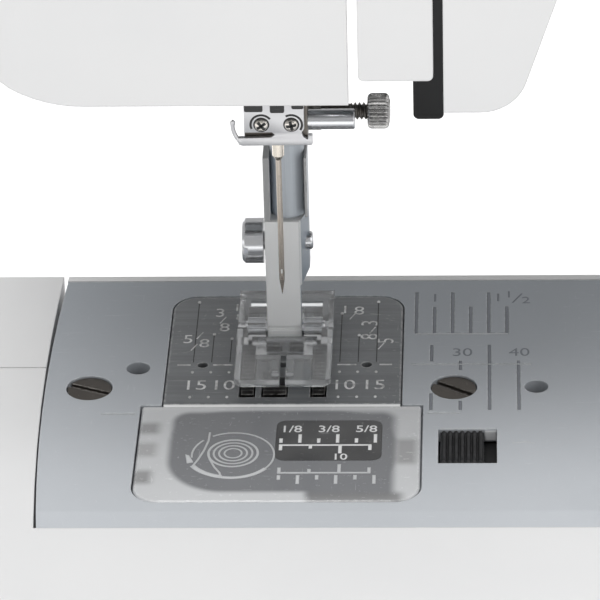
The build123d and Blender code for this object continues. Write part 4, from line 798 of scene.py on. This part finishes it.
@dataclass
class Studio:
    """Pale floor, soft lights and the camera."""

    target: Triple = (1.904, 22.133, 0.0)
    distance: float = 796.18
    elevation: float = 30.3669
    yaw: float = -2.7646
    roll: float = -1.6139
    lens: float = 269.5
    sensor: float = 36.0
    floor_tone: Triple = (0.93, 0.93, 0.93)
    floor_glow: float = 0.34
    sky_strength: float = 0.42
    floor_size: float = 6.0
    aim: Triple = (-0.05, 0.0, 0.1)
    key_spot: Triple = (-0.55, -0.75, 3.3)
    key_size: float = 2.0
    key_power: float = 76.0
    fill_spot: Triple = (1.2, -0.9, 1.0)
    fill_size: float = 1.2
    fill_power: float = 6.0

    def camera(self) -> None:
        """Camera about the target: forward = (sin yaw cos el, cos yaw cos el, -sin el), then roll."""
        el, yaw, roll = (math.radians(a) for a in (self.elevation, self.yaw, self.roll))
        forward = np.array([math.sin(yaw) * math.cos(el), math.cos(yaw) * math.cos(el), -math.sin(el)])
        level = np.array([math.cos(yaw), -math.sin(yaw), 0.0])
        upright = np.cross(level, forward)
        right = math.cos(roll) * level + math.sin(roll) * upright
        up = -math.sin(roll) * level + math.cos(roll) * upright
        spot = to_frame(np.array(self.target)) - self.distance * MM * forward
        data = bpy.data.cameras.new("camera")
        data.lens, data.sensor_width = self.lens, self.sensor
        data.clip_start, data.clip_end = 0.01, 50.0
        camera = bpy.data.objects.new("camera", data)
        turn = Matrix(np.column_stack([right, up, -forward]).tolist()).to_4x4()
        camera.matrix_world = Matrix.Translation(Vector(spot)) @ turn
        bpy.context.scene.collection.objects.link(camera)
        bpy.context.scene.camera = camera

    def panel_light(self, name: str, spot: Triple, size: float, power: float) -> None:
        """A square soft light at spot, turned to the machine."""
        data = bpy.data.lights.new(name, "AREA")
        data.shape, data.size, data.energy = "SQUARE", size, power
        light = bpy.data.objects.new(name, data)
        light.location = spot
        light.rotation_euler = (Vector(self.aim) - Vector(spot)).to_track_quat("-Z", "Y").to_euler()
        bpy.context.scene.collection.objects.link(light)

    def floor(self) -> None:
        """A flat floor of one quad, wide enough to fill every view."""
        half = self.floor_size / 2
        mesh = bpy.data.meshes.new("studio_floor")
        corners = [(-half, -half, 0), (half, -half, 0), (half, half, 0), (-half, half, 0)]
        mesh.from_pydata(corners, [], [[0, 1, 2, 3]])
        paper = bpy.data.materials.new("studio_paper")
        paper.use_nodes = True
        graph = Graph(paper.node_tree)
        shader = paper.node_tree.nodes["Principled BSDF"]
        place = graph.node("ShaderNodeTexCoord").outputs["Object"]
        tone = graph.noise(place, 900.0)
        greyer = tuple(0.97 * c for c in self.floor_tone)
        graph.wire(graph.mix(tone, self.floor_tone, greyer), shader.inputs["Base Color"])
        shader.inputs["Roughness"].default_value = 0.9
        shader.inputs["Emission Color"].default_value = (1.0, 1.0, 1.0, 1.0)
        shader.inputs["Emission Strength"].default_value = self.floor_glow
        mesh.materials.append(paper)
        floor = bpy.data.objects.new("studio_floor", mesh)
        bpy.context.scene.collection.objects.link(floor)

    def build(self) -> None:
        """Sets up the floor, the sky, the lights and the camera."""
        scene = bpy.context.scene
        scene.view_settings.view_transform = "Standard"
        world = bpy.data.worlds.new("studio_sky")
        scene.world = world
        world.use_nodes = True
        sky = world.node_tree.nodes["Background"]
        sky.inputs["Color"].default_value = (1.0, 1.0, 1.0, 1.0)
        sky.inputs["Strength"].default_value = self.sky_strength
        self.floor()
        self.panel_light("key_light", self.key_spot, self.key_size, self.key_power)
        self.panel_light("fill_light", self.fill_spot, self.fill_size, self.fill_power)
        self.camera()
        LOG.info("studio ready")


# ---- Bed plate ----


@dataclass
class SeamGuides:
    """Guide lines and numbers of the bed plate, all sizes in millimetres."""

    inch_start: float = 22.625
    inch_step: float = 3.175
    tick_width: float = 0.5
    long_top: float = 24.6
    short_top: float = 19.6
    tick_foot: float = 10.4
    line_low: float = -0.16
    line_high: float = -0.01
    face: float = 0.012
    tick_count: int = 6
    levels: tuple[Triple, ...] = (
        (22.6, 38.6, 10.3), (22.0, 42.6, 0.0), (-30.6, -24.9, -15.95), (24.9, 30.4, -15.95),
    )
    numerals: tuple[tuple[str, float, float, float], ...] = (
        ("1", 25.85, 22.6, 2.7), ("1", 37.0, 22.6, 2.7), ("1", 38.9, 23.7, 2.2), ("2", 41.9, 21.7, 2.3),
        ("30", 30.7, 3.9, 2.6), ("40", 40.6, 3.9, 2.6),
    )
    metric_ticks: tuple[Triple, ...] = (
        (25.4, 1.0, 6.5), (25.4, -15.0, -9.5), (30.4, -2.0, 1.2), (30.4, -15.0, -12.0),
        (35.4, -15.0, 6.5), (40.4, -15.0, 1.2),
    )

    def ticks(self, dark: Material) -> None:
        """Fills the engraved upright lines with their darker tone."""
        lines = MeshBuffer()
        for i in range(self.tick_count):
            x = self.inch_start + self.inch_step * i
            top = self.long_top if i % 2 == 0 else self.short_top
            lines.straight((x, self.tick_foot, x, top), self.tick_width, self.line_low, self.line_high)
        for x, low, high in self.metric_ticks:
            lines.straight((x, low, x, high), self.tick_width, self.line_low, self.line_high)
        lines.build("guide_ticks", dark, "satin_plate", Body.MACHINE)

    def bright_lines(self, light: Material) -> None:
        """Adds the level lines, which catch the light, and the lit rim beside each groove."""
        lines = MeshBuffer()
        for left, right, y in self.levels:
            lines.straight((left, y, right, y), 0.3, self.line_low, self.face)
        swash = np.array([[39.2, -25.5], [40.4, -25.4], [41.3, -25.1], [42.9, -25.7]])
        lines.line(swash, 0.34, SUNK, self.face)
        # painted highlight along the rim above the latch slot
        lines.straight((27.0, -20.9, 36.4, -20.9), 0.34, SUNK, self.face)
        lines.build("guide_levels", light, "satin_plate", Body.MACHINE)

    def numbers(self, dark: Material) -> None:
        """Adds the engraved numbers of both rulers."""
        marks = MeshBuffer()
        for text, x, y, height in self.numerals:
            marks.figures(text, (x, y), height, SUNK, self.face)
        marks.straight((39.5, 20.9, 41.2, 24.1), 0.3, SUNK, self.face)
        marks.build("guide_numbers", dark, "satin_plate", Body.MACHINE)

    def build(self, dark: Material, light: Material) -> None:
        """Builds every mark of the bed plate."""
        self.ticks(dark)
        self.bright_lines(light)
        self.numbers(dark)


@dataclass
class InsertMarks:
    """Etched lines and numbers of the steel needle plate, and its lit front edge."""

    lines_at: tuple[float, ...] = (-15.875, -12.7, -9.525, 9.525, 12.7, 15.875)
    tops: tuple[float, ...] = (21.0, 10.0, 8.5, 17.0, 9.5, 21.0)
    face: float = 0.015
    dashes: tuple[Pair, ...] = ((-18.6, -16.3), (-12.4, -9.0), (9.1, 12.4), (16.4, 18.6))
    figures: tuple[tuple[str, float, float, float, float], ...] = (
        ("15", -15.2, -6.8, 3.1, 0.0), ("10", -10.4, -6.8, 3.1, 0.0), ("10", 10.3, -6.8, 3.1, 0.0),
        ("15", 15.5, -6.8, 3.1, 0.0), ("5", -17.2, 8.6, 2.8, 0.0), ("8", -14.3, 7.2, 2.8, 0.0),
        ("3", -12.0, 17.6, 2.8, 0.0), ("8", -11.0, 12.6, 2.8, 0.0), ("1", -9.1, 19.4, 2.4, 0.0),
        ("8", -8.4, 16.2, 2.4, 0.0), ("1", 10.0, 18.6, 2.6, 0.0), ("8", 12.5, 18.2, 2.8, 0.0),
        ("3", 14.6, 14.0, 3.0, 90.0), ("8", 14.6, 9.4, 3.0, 90.0), ("5", 17.5, 8.0, 2.8, 90.0),
    )
    strokes: tuple[Pair, ...] = (
        (-16.0, 6.0), (-15.2, 9.9), (-11.4, 15.2), (11.4, 16.4), (15.0, 11.6), (16.6, 6.2),
    )
    edge_radius: float = 0.6
    edge_half: float = 20.2
    edge_at: float = -13.08

    def build(self, bright: Material, dark: Material, lit: Material) -> None:
        """Builds the dark scribed lines, the glinting marks and the edge."""
        scribed = MeshBuffer()
        for x, top in zip(self.lines_at, self.tops):
            scribed.straight((x, 0.9, x, top), 0.16, SUNK, self.face)
        scribed.build("insert_scribes", dark, "insert_steel", Body.MACHINE)
        # real etched marks, painted light as the glints of their grooves
        marks = MeshBuffer()
        for left, right in self.dashes:
            marks.straight((left, 0.0, right, 0.0), 0.42, SUNK, self.face)
        for text, x, y, height, turn in self.figures:
            marks.figures(text, (x, y), height, SUNK, self.face, turn=turn)
        for x, y in self.strokes:
            marks.straight((x - 0.5, y - 1.1, x + 0.5, y + 1.1), 0.24, SUNK, self.face)
        for x, top in zip(self.lines_at, self.tops):
            marks.slab(ellipse(x, top + 0.4, 0.3, 0.45, count=13)[:-1], SUNK, self.face)
            for y in (-2.4, -10.6):
                marks.slab(ellipse(x, y, 0.26, 0.4, count=13)[:-1], SUNK, self.face)
        marks.build("insert_glint_marks", bright, "insert_steel", Body.MACHINE)
        self.edge(lit)

    def edge(self, lit: Material) -> None:
        """A rolled front edge: a quarter circle of radius r carried from left to right, white as a painted
        highlight.
        """
        r = self.edge_radius
        turn = np.linspace(0.0, math.pi / 2, 7)
        y = np.concatenate([self.edge_at - r * np.sin(turn), [self.edge_at]])
        z = np.concatenate([-r + r * np.cos(turn) + 0.05, [-r]])
        ends = (-self.edge_half, self.edge_half)
        rings = np.stack([np.column_stack([np.full(len(y), x), y, z]) for x in ends])
        strip = MeshBuffer()
        strip.sweep(rings)
        strip.build("insert_edge_highlight", lit, "insert_steel", Body.MACHINE)


# ---- Bobbin cover and its latch ----


@dataclass
class CoverPrint:
    """Window, rulers and threading picture of the bobbin cover."""

    window: tuple[float, float, float, float] = (-0.6, 17.3, -30.9, -18.3)
    window_radius: float = 1.7
    ruler_shift: float = 0.3
    eighth: float = 3.175
    ruler_y: float = -26.1
    mirror_y: float = -34.7
    tick_width: float = 0.58
    line_width: float = 0.46
    face: float = 0.03
    print_face: float = 0.045
    inch_ticks: int = 6
    picture: Pair = (-7.6, -28.6)
    rings: tuple[Pair, ...] = ((4.15, 0.42), (3.25, 0.34), (2.35, 0.34), (1.45, 0.3))
    arcs: tuple[tuple[float, float, float, float, float, float, int, float], ...] = (
        (0.0, -0.6, 6.9, 7.0, -38.0, 122.0, 48, 0.34), (0.0, -0.6, 6.9, 7.0, 138.0, 186.0, 16, 0.34),
        (0.0, -0.6, 6.9, 7.0, 256.0, 324.0, 24, 0.75), (0.2, -0.9, 7.6, 6.6, 206.0, 256.0, 18, 0.95),
    )
    threads: tuple[tuple[Pair, ...], ...] = (
        ((-11.8, -22.0), (-11.9, -24.6), (-12.5, -27.6), (-13.4, -30.6), (-14.3, -32.9)),
        ((-11.7, -28.4), (-11.5, -30.2), (-10.6, -32.8), (-9.6, -34.6), (-9.3, -36.0)),
    )

    def pane(self, dark: Material) -> None:
        """The clear window, drawn as an opaque dark sheet: the black bobbin case under it, and painted shade
        in its hollow.
        """
        x0, x1, y0, y1 = self.window
        glass = MeshBuffer()
        glass.slab(rounded_rectangle(x0, x1, y0, y1, self.window_radius), SUNK, self.face)
        glass.build("cover_window", dark, "smoked_plastic", Body.HOOK_COVER)

    def ruler(self, marks: MeshBuffer, y: float, up: float, high: float) -> None:
        """Adds one ruler: eighths of an inch on one side of its line, millimetres on the other.

        Args:
            marks: where the lines go.
            y: the ruler's line.
            up: 1 when the inches are above the line, -1 below.
            high: height of the print.
        """
        shift = self.ruler_shift
        marks.straight((shift - 0.3, y, 15.0 + shift + 0.25, y), self.line_width, 0.0, high)
        for i in range(self.inch_ticks):
            x = i * self.eighth + shift
            reach = 3.4 if i % 2 else 2.1
            marks.straight((x, y + up * 0.75, x, y + up * reach), self.tick_width, 0.0, high)
        for i, reach in enumerate((1.6, 1.1, 2.6, 1.6)):
            x = i * 5.0 + shift
            marks.straight((x, y, x, y - up * reach), self.tick_width, 0.0, high)

    def build(self, white: Material, pale: Material, dark: Material) -> None:
        """Builds the window and everything printed on the cover."""
        self.pane(dark)
        bold = MeshBuffer()
        self.ruler(bold, self.ruler_y, 1.0, self.print_face)
        for i, text in ((1, "1/8"), (3, "3/8"), (5, "5/8")):
            x = i * self.eighth + self.ruler_shift - 1.55
            bold.figures(text, (x, -21.1), 2.05, 0.0, self.print_face, bold=0.03)
        bold.figures("10", (10.0 + self.ruler_shift, -29.85), 1.85, 0.0, self.print_face, bold=0.03)
        bold.build("window_ruler", white, "smoked_plastic", Body.HOOK_COVER)
        faint = MeshBuffer()
        self.ruler(faint, self.mirror_y, -1.0, self.face)
        cx, cy = self.picture
        for radius, width in self.rings:
            faint.line(ellipse(cx, cy, radius, radius, count=49)[:-1], width, 0.0, self.face, closed=True)
        for dx, dy, rx, ry, start, end, count, width in self.arcs:
            faint.line(ellipse(cx + dx, cy + dy, rx, ry, start, end, count), width, 0.0, self.face)
        for thread in self.threads:
            faint.line(np.array(thread), 0.36, 0.0, self.face)
        arrow = np.array([[-15.6, -28.9], [-14.9, -29.3], [-14.1, -31.4], [-15.2, -31.7]])
        faint.slab(arrow, 0.0, self.face)
        faint.build("cover_picture", pale, "smoked_plastic", Body.HOOK_COVER)


@dataclass
class LatchRibs:
    """Finger ribs of the cover latch, and the pale stop on the rear wall of its slot."""

    first: float = 27.75
    pitch: float = 1.02
    count: int = 7
    front: float = -31.3
    back: float = -21.5
    height: float = 0.55

    def build(self, black: Material, pale: Material) -> None:
        """Each rib: height = h |cos|^0.6 across its width, carried from front to back with rounded ends."""
        across = np.linspace(-1.0, 1.0, 9)
        along = np.linspace(0.0, 1.0, 11)
        crown = np.cos(across * math.pi / 2).clip(0) ** 0.6
        end = np.sin(np.clip(np.minimum(along, 1 - along) * 8, 0, 1) * math.pi / 2)
        ribs = MeshBuffer()
        for i in range(self.count):
            x = self.first + i * self.pitch + across * 0.44
            y = self.front + along * (self.back - self.front)
            top = -0.52 + self.height * crown[None, :] * end[:, None]
            rows = np.stack(np.broadcast_arrays(x, y[:, None], top), axis=-1)
            base = rows[:, ::-1].copy()
            base[..., 2] = -0.6
            ribs.sweep(np.concatenate([rows, base], axis=1))
        ribs.build("latch_ribs", black, "black_plastic", Body.LATCH)
        stop = MeshBuffer()
        stop.slab(rounded_rectangle(34.55, 36.5, -21.36, -21.14, 0.05), -2.2, -0.3)
        stop.build("latch_stop", pale, "casing_white", Body.MACHINE)


# ---- Needle clamp ----


@dataclass
class ClampSet:
    """Clamp tube, thumb knob with its thread, guide plate and the two cross-head screws."""

    tube_axis: Pair = (-2.6, 49.5)
    tube_radius: float = 1.72
    tube_ends: Pair = (4.2, 13.15)
    knob_axis: Pair = (0.8, 49.2)
    knob: Pair = (15.15, 18.8)
    knob_radius: float = 3.0
    knob_edge: float = 0.8
    flutes: int = 26
    thread_ends: Pair = (12.4, 15.6)
    thread_radius: float = 1.42
    thread_pitch: float = 0.72
    plate_front: float = -5.45
    plate_thick: float = 0.75
    screws: Pair = (-2.4, 2.6)
    screw_height: float = 50.0
    head_radius: float = 1.15
    seat_radius: float = 1.34
    cross_reach: float = 0.85

    def turned(self, x: np.ndarray, radius: np.ndarray, axis: Pair, sides: int = 48) -> np.ndarray:
        """Rings about an axis along X: (x, axis_y + r cos t, axis_z + r sin t).

        Args:
            x: place of each ring.
            radius: one radius for each ring, or rings x sides.
            axis: the axis's Y and Z.
            sides: points in a ring.

        Returns:
            rings x sides x 3.
        """
        t = np.linspace(0.0, 2 * math.pi, sides, endpoint=False)
        r = np.asarray(radius, float)
        r = r if r.ndim == 2 else np.repeat(r[:, None], sides, axis=1)
        along = np.repeat(x[:, None], sides, axis=1)
        return np.stack([along, axis[0] + r * np.cos(t), axis[1] + r * np.sin(t)], axis=-1)

    def tube(self, bright: Material) -> None:
        """The chromed tube, its end rounded by a quarter circle."""
        turn = np.linspace(0.0, math.pi / 2, 6)
        a, b = self.tube_ends
        x = np.concatenate([[a, b - 0.3], b - 0.3 + 0.3 * np.sin(turn)])
        r = np.concatenate([[self.tube_radius] * 2, self.tube_radius - 0.3 + 0.3 * np.cos(turn)])
        piece = MeshBuffer()
        piece.sweep(self.turned(x, r, self.tube_axis))
        piece.build("clamp_tube", bright, "bright_steel", Body.NEEDLE_SLIDE)

    def knob_and_thread(self, steel: Material, dark: Material) -> None:
        """Knob: r = R - depth (0.5 - 0.5 cos(n t)). Thread: r = r0 + h cos(2 pi x / p - t).

        Args:
            steel: finish of the knob.
            dark: finish of the thread.
        """
        a, b = self.knob
        sides = self.flutes * 8
        t = np.linspace(0.0, 2 * math.pi, sides, endpoint=False)
        quarter, edge = np.linspace(0, math.pi / 2, 8), self.knob_edge
        x = np.concatenate([a + edge * (1 - np.cos(quarter)), b - edge + edge * np.sin(quarter)])
        body = self.knob_radius - edge + edge * np.concatenate([np.sin(quarter), np.cos(quarter)])
        flute = 0.34 * (0.5 - 0.5 * np.cos(self.flutes * t)) ** 0.7
        piece = MeshBuffer()
        piece.sweep(self.turned(x, body[:, None] - flute[None, :], self.knob_axis, sides))
        face = np.array([b - 0.02, b + 0.12, b + 0.12, b + 0.02])
        piece.sweep(self.turned(face, np.array([2.1, 1.9, 1.2, 1.0]), self.knob_axis))
        knob = piece.build("clamp_knob", steel, "dark_steel", Body.CLAMP_SCREW, 50.0)
        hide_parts("needle_clamp_screw")
        piece = MeshBuffer()
        sx, st = np.linspace(*self.thread_ends, 90), np.linspace(0.0, 2 * math.pi, 36, endpoint=False)
        wave = np.cos(2 * math.pi * sx[:, None] / self.thread_pitch - st[None, :])
        piece.sweep(self.turned(sx, self.thread_radius - 0.16 + 0.2 * wave, self.knob_axis, 36))
        thin = np.array([4.0, self.thread_ends[0] + 0.1])
        piece.sweep(self.turned(thin, np.array([1.25, 1.25]), self.knob_axis, 24))
        piece.build("clamp_thread", dark, "dark_steel", Body.CLAMP_SCREW, 50.0)

    def rim(self) -> np.ndarray:
        """Front view of the guide plate with its bottom bar and the catch at its right, in X and Z."""
        return np.array([
            [-5.3, 48.5], [-5.3, 55.0], [4.75, 55.0], [4.75, 49.2], [4.3, 48.4], [4.6, 47.6], [5.3, 47.2],
            [5.4, 48.0], [6.1, 48.0], [6.1, 46.4], [5.9, 46.1], [-5.6, 46.0], [-6.2, 46.2], [-6.6, 47.0],
            [-6.3, 47.5], [-0.9, 47.6], [-0.2, 48.05], [-0.7, 48.5],
        ])

    def openings(self) -> list[np.ndarray]:
        """Front views of the cut-outs: three windows along the top, and a curl around each screw.

        Returns:
            Closed outlines in X and Z.
        """
        curls = []
        for x, start, end in ((self.screws[0], 35.0, 205.0), (self.screws[1], -35.0, 120.0)):
            outer = ellipse(x, self.screw_height, 1.98, 1.98, start, end, 22)
            inner = ellipse(x, self.screw_height, 1.6, 1.6, end, start, 22)
            curls.append(np.concatenate([outer, inner]))
        windows = [rounded_rectangle(*box, 0.3, 3) for box in
                   ((-5.2, -2.1, 52.4, 54.9), (-0.9, 1.5, 52.2, 54.9), (2.7, 4.7, 52.9, 54.9))]
        return windows + curls

    def inset(self, ring: np.ndarray, by: float) -> np.ndarray:
        """Moves each corner of a closed outline inward along the mean of its two edge normals."""
        along = directions(ring, closed=True)
        area = np.sum(ring[:, 0] * np.roll(ring[:, 1], -1) - np.roll(ring[:, 0], -1) * ring[:, 1])
        inward = np.stack([-along[:, 1], along[:, 0]], axis=-1) * math.copysign(by, area)
        return ring + inward

    def guide_plate(self, nickel: Material, dark: Material) -> None:
        """The stamped plate: its rim carried from back to front, drawn in at the front for a rolled edge.

        Args:
            nickel: finish of the plate.
            dark: finish of the dark sheets in the slots, painted shade over the clamp behind the plate.
        """
        rim = self.rim()
        front, back, roll = self.plate_front, self.plate_front + self.plate_thick, 0.1
        steps = ((back, 0.0), (front + roll, 0.0), (front + roll * 0.3, roll * 0.3), (front, roll))
        rings = np.stack([np.insert(self.inset(rim, by), 1, y, axis=1) for y, by in steps])
        plate = MeshBuffer()
        plate.sweep(rings)
        plate.sweep(self.arm())
        stamped = plate.build("guide_plate", nickel, "bright_steel", Body.NEEDLE_SLIDE, 40.0)
        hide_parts("threader_plate")
        opening = MeshBuffer()
        for ring in self.openings():
            opening.sweep(np.stack([np.insert(ring, 1, y, axis=1) for y in (front + 0.2, front - 0.015)]))
        opening.build("guide_plate_slot_shade", dark, "dark_steel", Body.NEEDLE_SLIDE)

    def arm(self) -> np.ndarray:
        """The thread arm at the left: a rounded section carried along a curve that rises to a bulb.

        Returns:
            stations x section x 3.
        """
        s = np.linspace(0.0, 1.0, 16)
        x = -6.05 - 1.15 * np.sin(0.62 * math.pi * s ** 0.85)
        z = 46.7 + 4.1 * s
        half = 0.42 - 0.12 * s + 0.16 * np.exp(-((s - 0.92) / 0.12) ** 2)
        half[-1] *= 0.45
        t = np.linspace(0.0, 2 * math.pi, 14, endpoint=False)
        return np.stack([
            x[:, None] + half[:, None] * np.cos(t),
            np.broadcast_to(self.plate_front + 0.35 - 0.3 * s[:, None] + 0.34 * np.sin(t)[None, :], (16, 14)),
            np.broadcast_to(z[:, None], (16, 14)),
        ], axis=-1)

    def cross_screws(self, nickel: Material, dark: Material) -> None:
        """Domed heads: depth = dome (1 - (r/R)^2) minus a cross of soft-edged slots.

        Args:
            nickel: finish of the heads.
            dark: finish of the ring under each head and of the cross bars, painted shade.
        """
        rings, sides, radius = 26, 72, self.head_radius
        r = np.linspace(0.0, radius, rings)[:, None]
        t = np.linspace(0.0, 2 * math.pi, sides, endpoint=False)[None, :]
        for x0, turn, tag in ((self.screws[0], 0.66, "left"), (self.screws[1], 0.2, "right")):
            u, v = r * np.cos(t - turn), r * np.sin(t - turn)
            slot = np.exp(-((u / 0.2) ** 4)) * (np.abs(v) < self.cross_reach)
            slot = slot + np.exp(-((v / 0.2) ** 4)) * (np.abs(u) < self.cross_reach)
            rise = 0.62 * (1 - (r / radius) ** 2.6) ** 0.5 - 0.42 * np.clip(slot, 0, 1)
            height = self.screw_height + r * np.sin(t)
            top = np.stack([x0 + r * np.cos(t), self.plate_front - 0.05 - rise, height], -1)
            skirt = top[-1:].copy()
            skirt[..., 1] = self.plate_front + 0.4
            head = MeshBuffer()
            head.sweep(np.concatenate([top[1:], skirt]))
            head.build("cross_screw_" + tag, nickel, "dark_steel", Body.NEEDLE_SLIDE, 60.0)
            recess_shade = MeshBuffer()
            recess_shade.sweep(self.shade_ring(x0))
            for lean in (turn, turn + math.pi / 2):
                recess_shade.sweep(self.cross_bar(x0, lean))
            recess_shade.build("screw_seat_" + tag, dark, "dark_steel", Body.NEEDLE_SLIDE)

    def cross_bar(self, x0: float, lean: float) -> np.ndarray:
        """One dark bar of painted shade in the cross recess: a box 0.3 wide, turned by lean about the screw's
        axis.
        """
        reach = self.cross_reach
        corner = np.array([[-reach, -0.15], [reach, -0.15], [reach, 0.15], [-reach, 0.15]])
        x = x0 + corner[:, 0] * math.cos(lean) - corner[:, 1] * math.sin(lean)
        z = self.screw_height + corner[:, 0] * math.sin(lean) + corner[:, 1] * math.cos(lean)
        depths = (self.plate_front - 0.1, self.plate_front - 0.6)
        return np.stack([np.column_stack([x, np.full(4, y), z]) for y in depths])

    def shade_ring(self, x0: float) -> np.ndarray:
        """A flat dark ring behind a screw head, painted shade where the head meets the plate: two circles,
        front and back.
        """
        t = np.linspace(0.0, 2 * math.pi, 40, endpoint=False)
        x = x0 + self.seat_radius * np.cos(t)
        z = self.screw_height + self.seat_radius * np.sin(t)
        depths = (self.plate_front - 0.04, self.plate_front + 0.1)
        return np.stack([np.column_stack([x, np.full(len(t), y), z]) for y in depths])

    def build(self, made: dict[str, Material]) -> None:
        """Builds every piece that the needle bar's clamp carries."""
        self.tube(made["bright_steel"])
        self.knob_and_thread(made["knob_steel"], made["dark_steel"])
        self.guide_plate(made["nickel"], made["scribes_and_shade_dark"])
        self.cross_screws(made["screw_nickel"], made["scribes_and_shade_dark"])
        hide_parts("threader_screws")


# ---- Main ----


def main() -> None:
    """Builds the finishes, the studio and each sub-assembly in order."""
    logging.basicConfig(level=logging.INFO, format="%(message)s")
    make_effects()
    every_finish = (*FINISHES, *EXTRA_FINISHES, *FADED_FINISHES, COVER_FINISH)
    finishes = {finish.key: finish.build() for finish in every_finish}
    Studio().build()
    dress_nodes(finishes)
    for name, key in (("needle", "needle_steel"), ("feed_dog", "feed_steel")):
        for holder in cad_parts[name].material_slots:
            holder.material = finishes[key]
    SeamGuides().build(finishes["guide_dark"], finishes["guide_highlight"])
    InsertMarks().build(finishes["etched_glint"], finishes["scribes_and_shade_dark"], finishes["print_and_highlight_white"])
    CoverPrint().build(finishes["print_and_highlight_white"], finishes["print_pale"], finishes["window_case_and_shade"])
    LatchRibs().build(finishes["black_plastic"], finishes["stop_pale"])
    ClampSet().build(finishes)


if __name__ == "__main__":
    main()
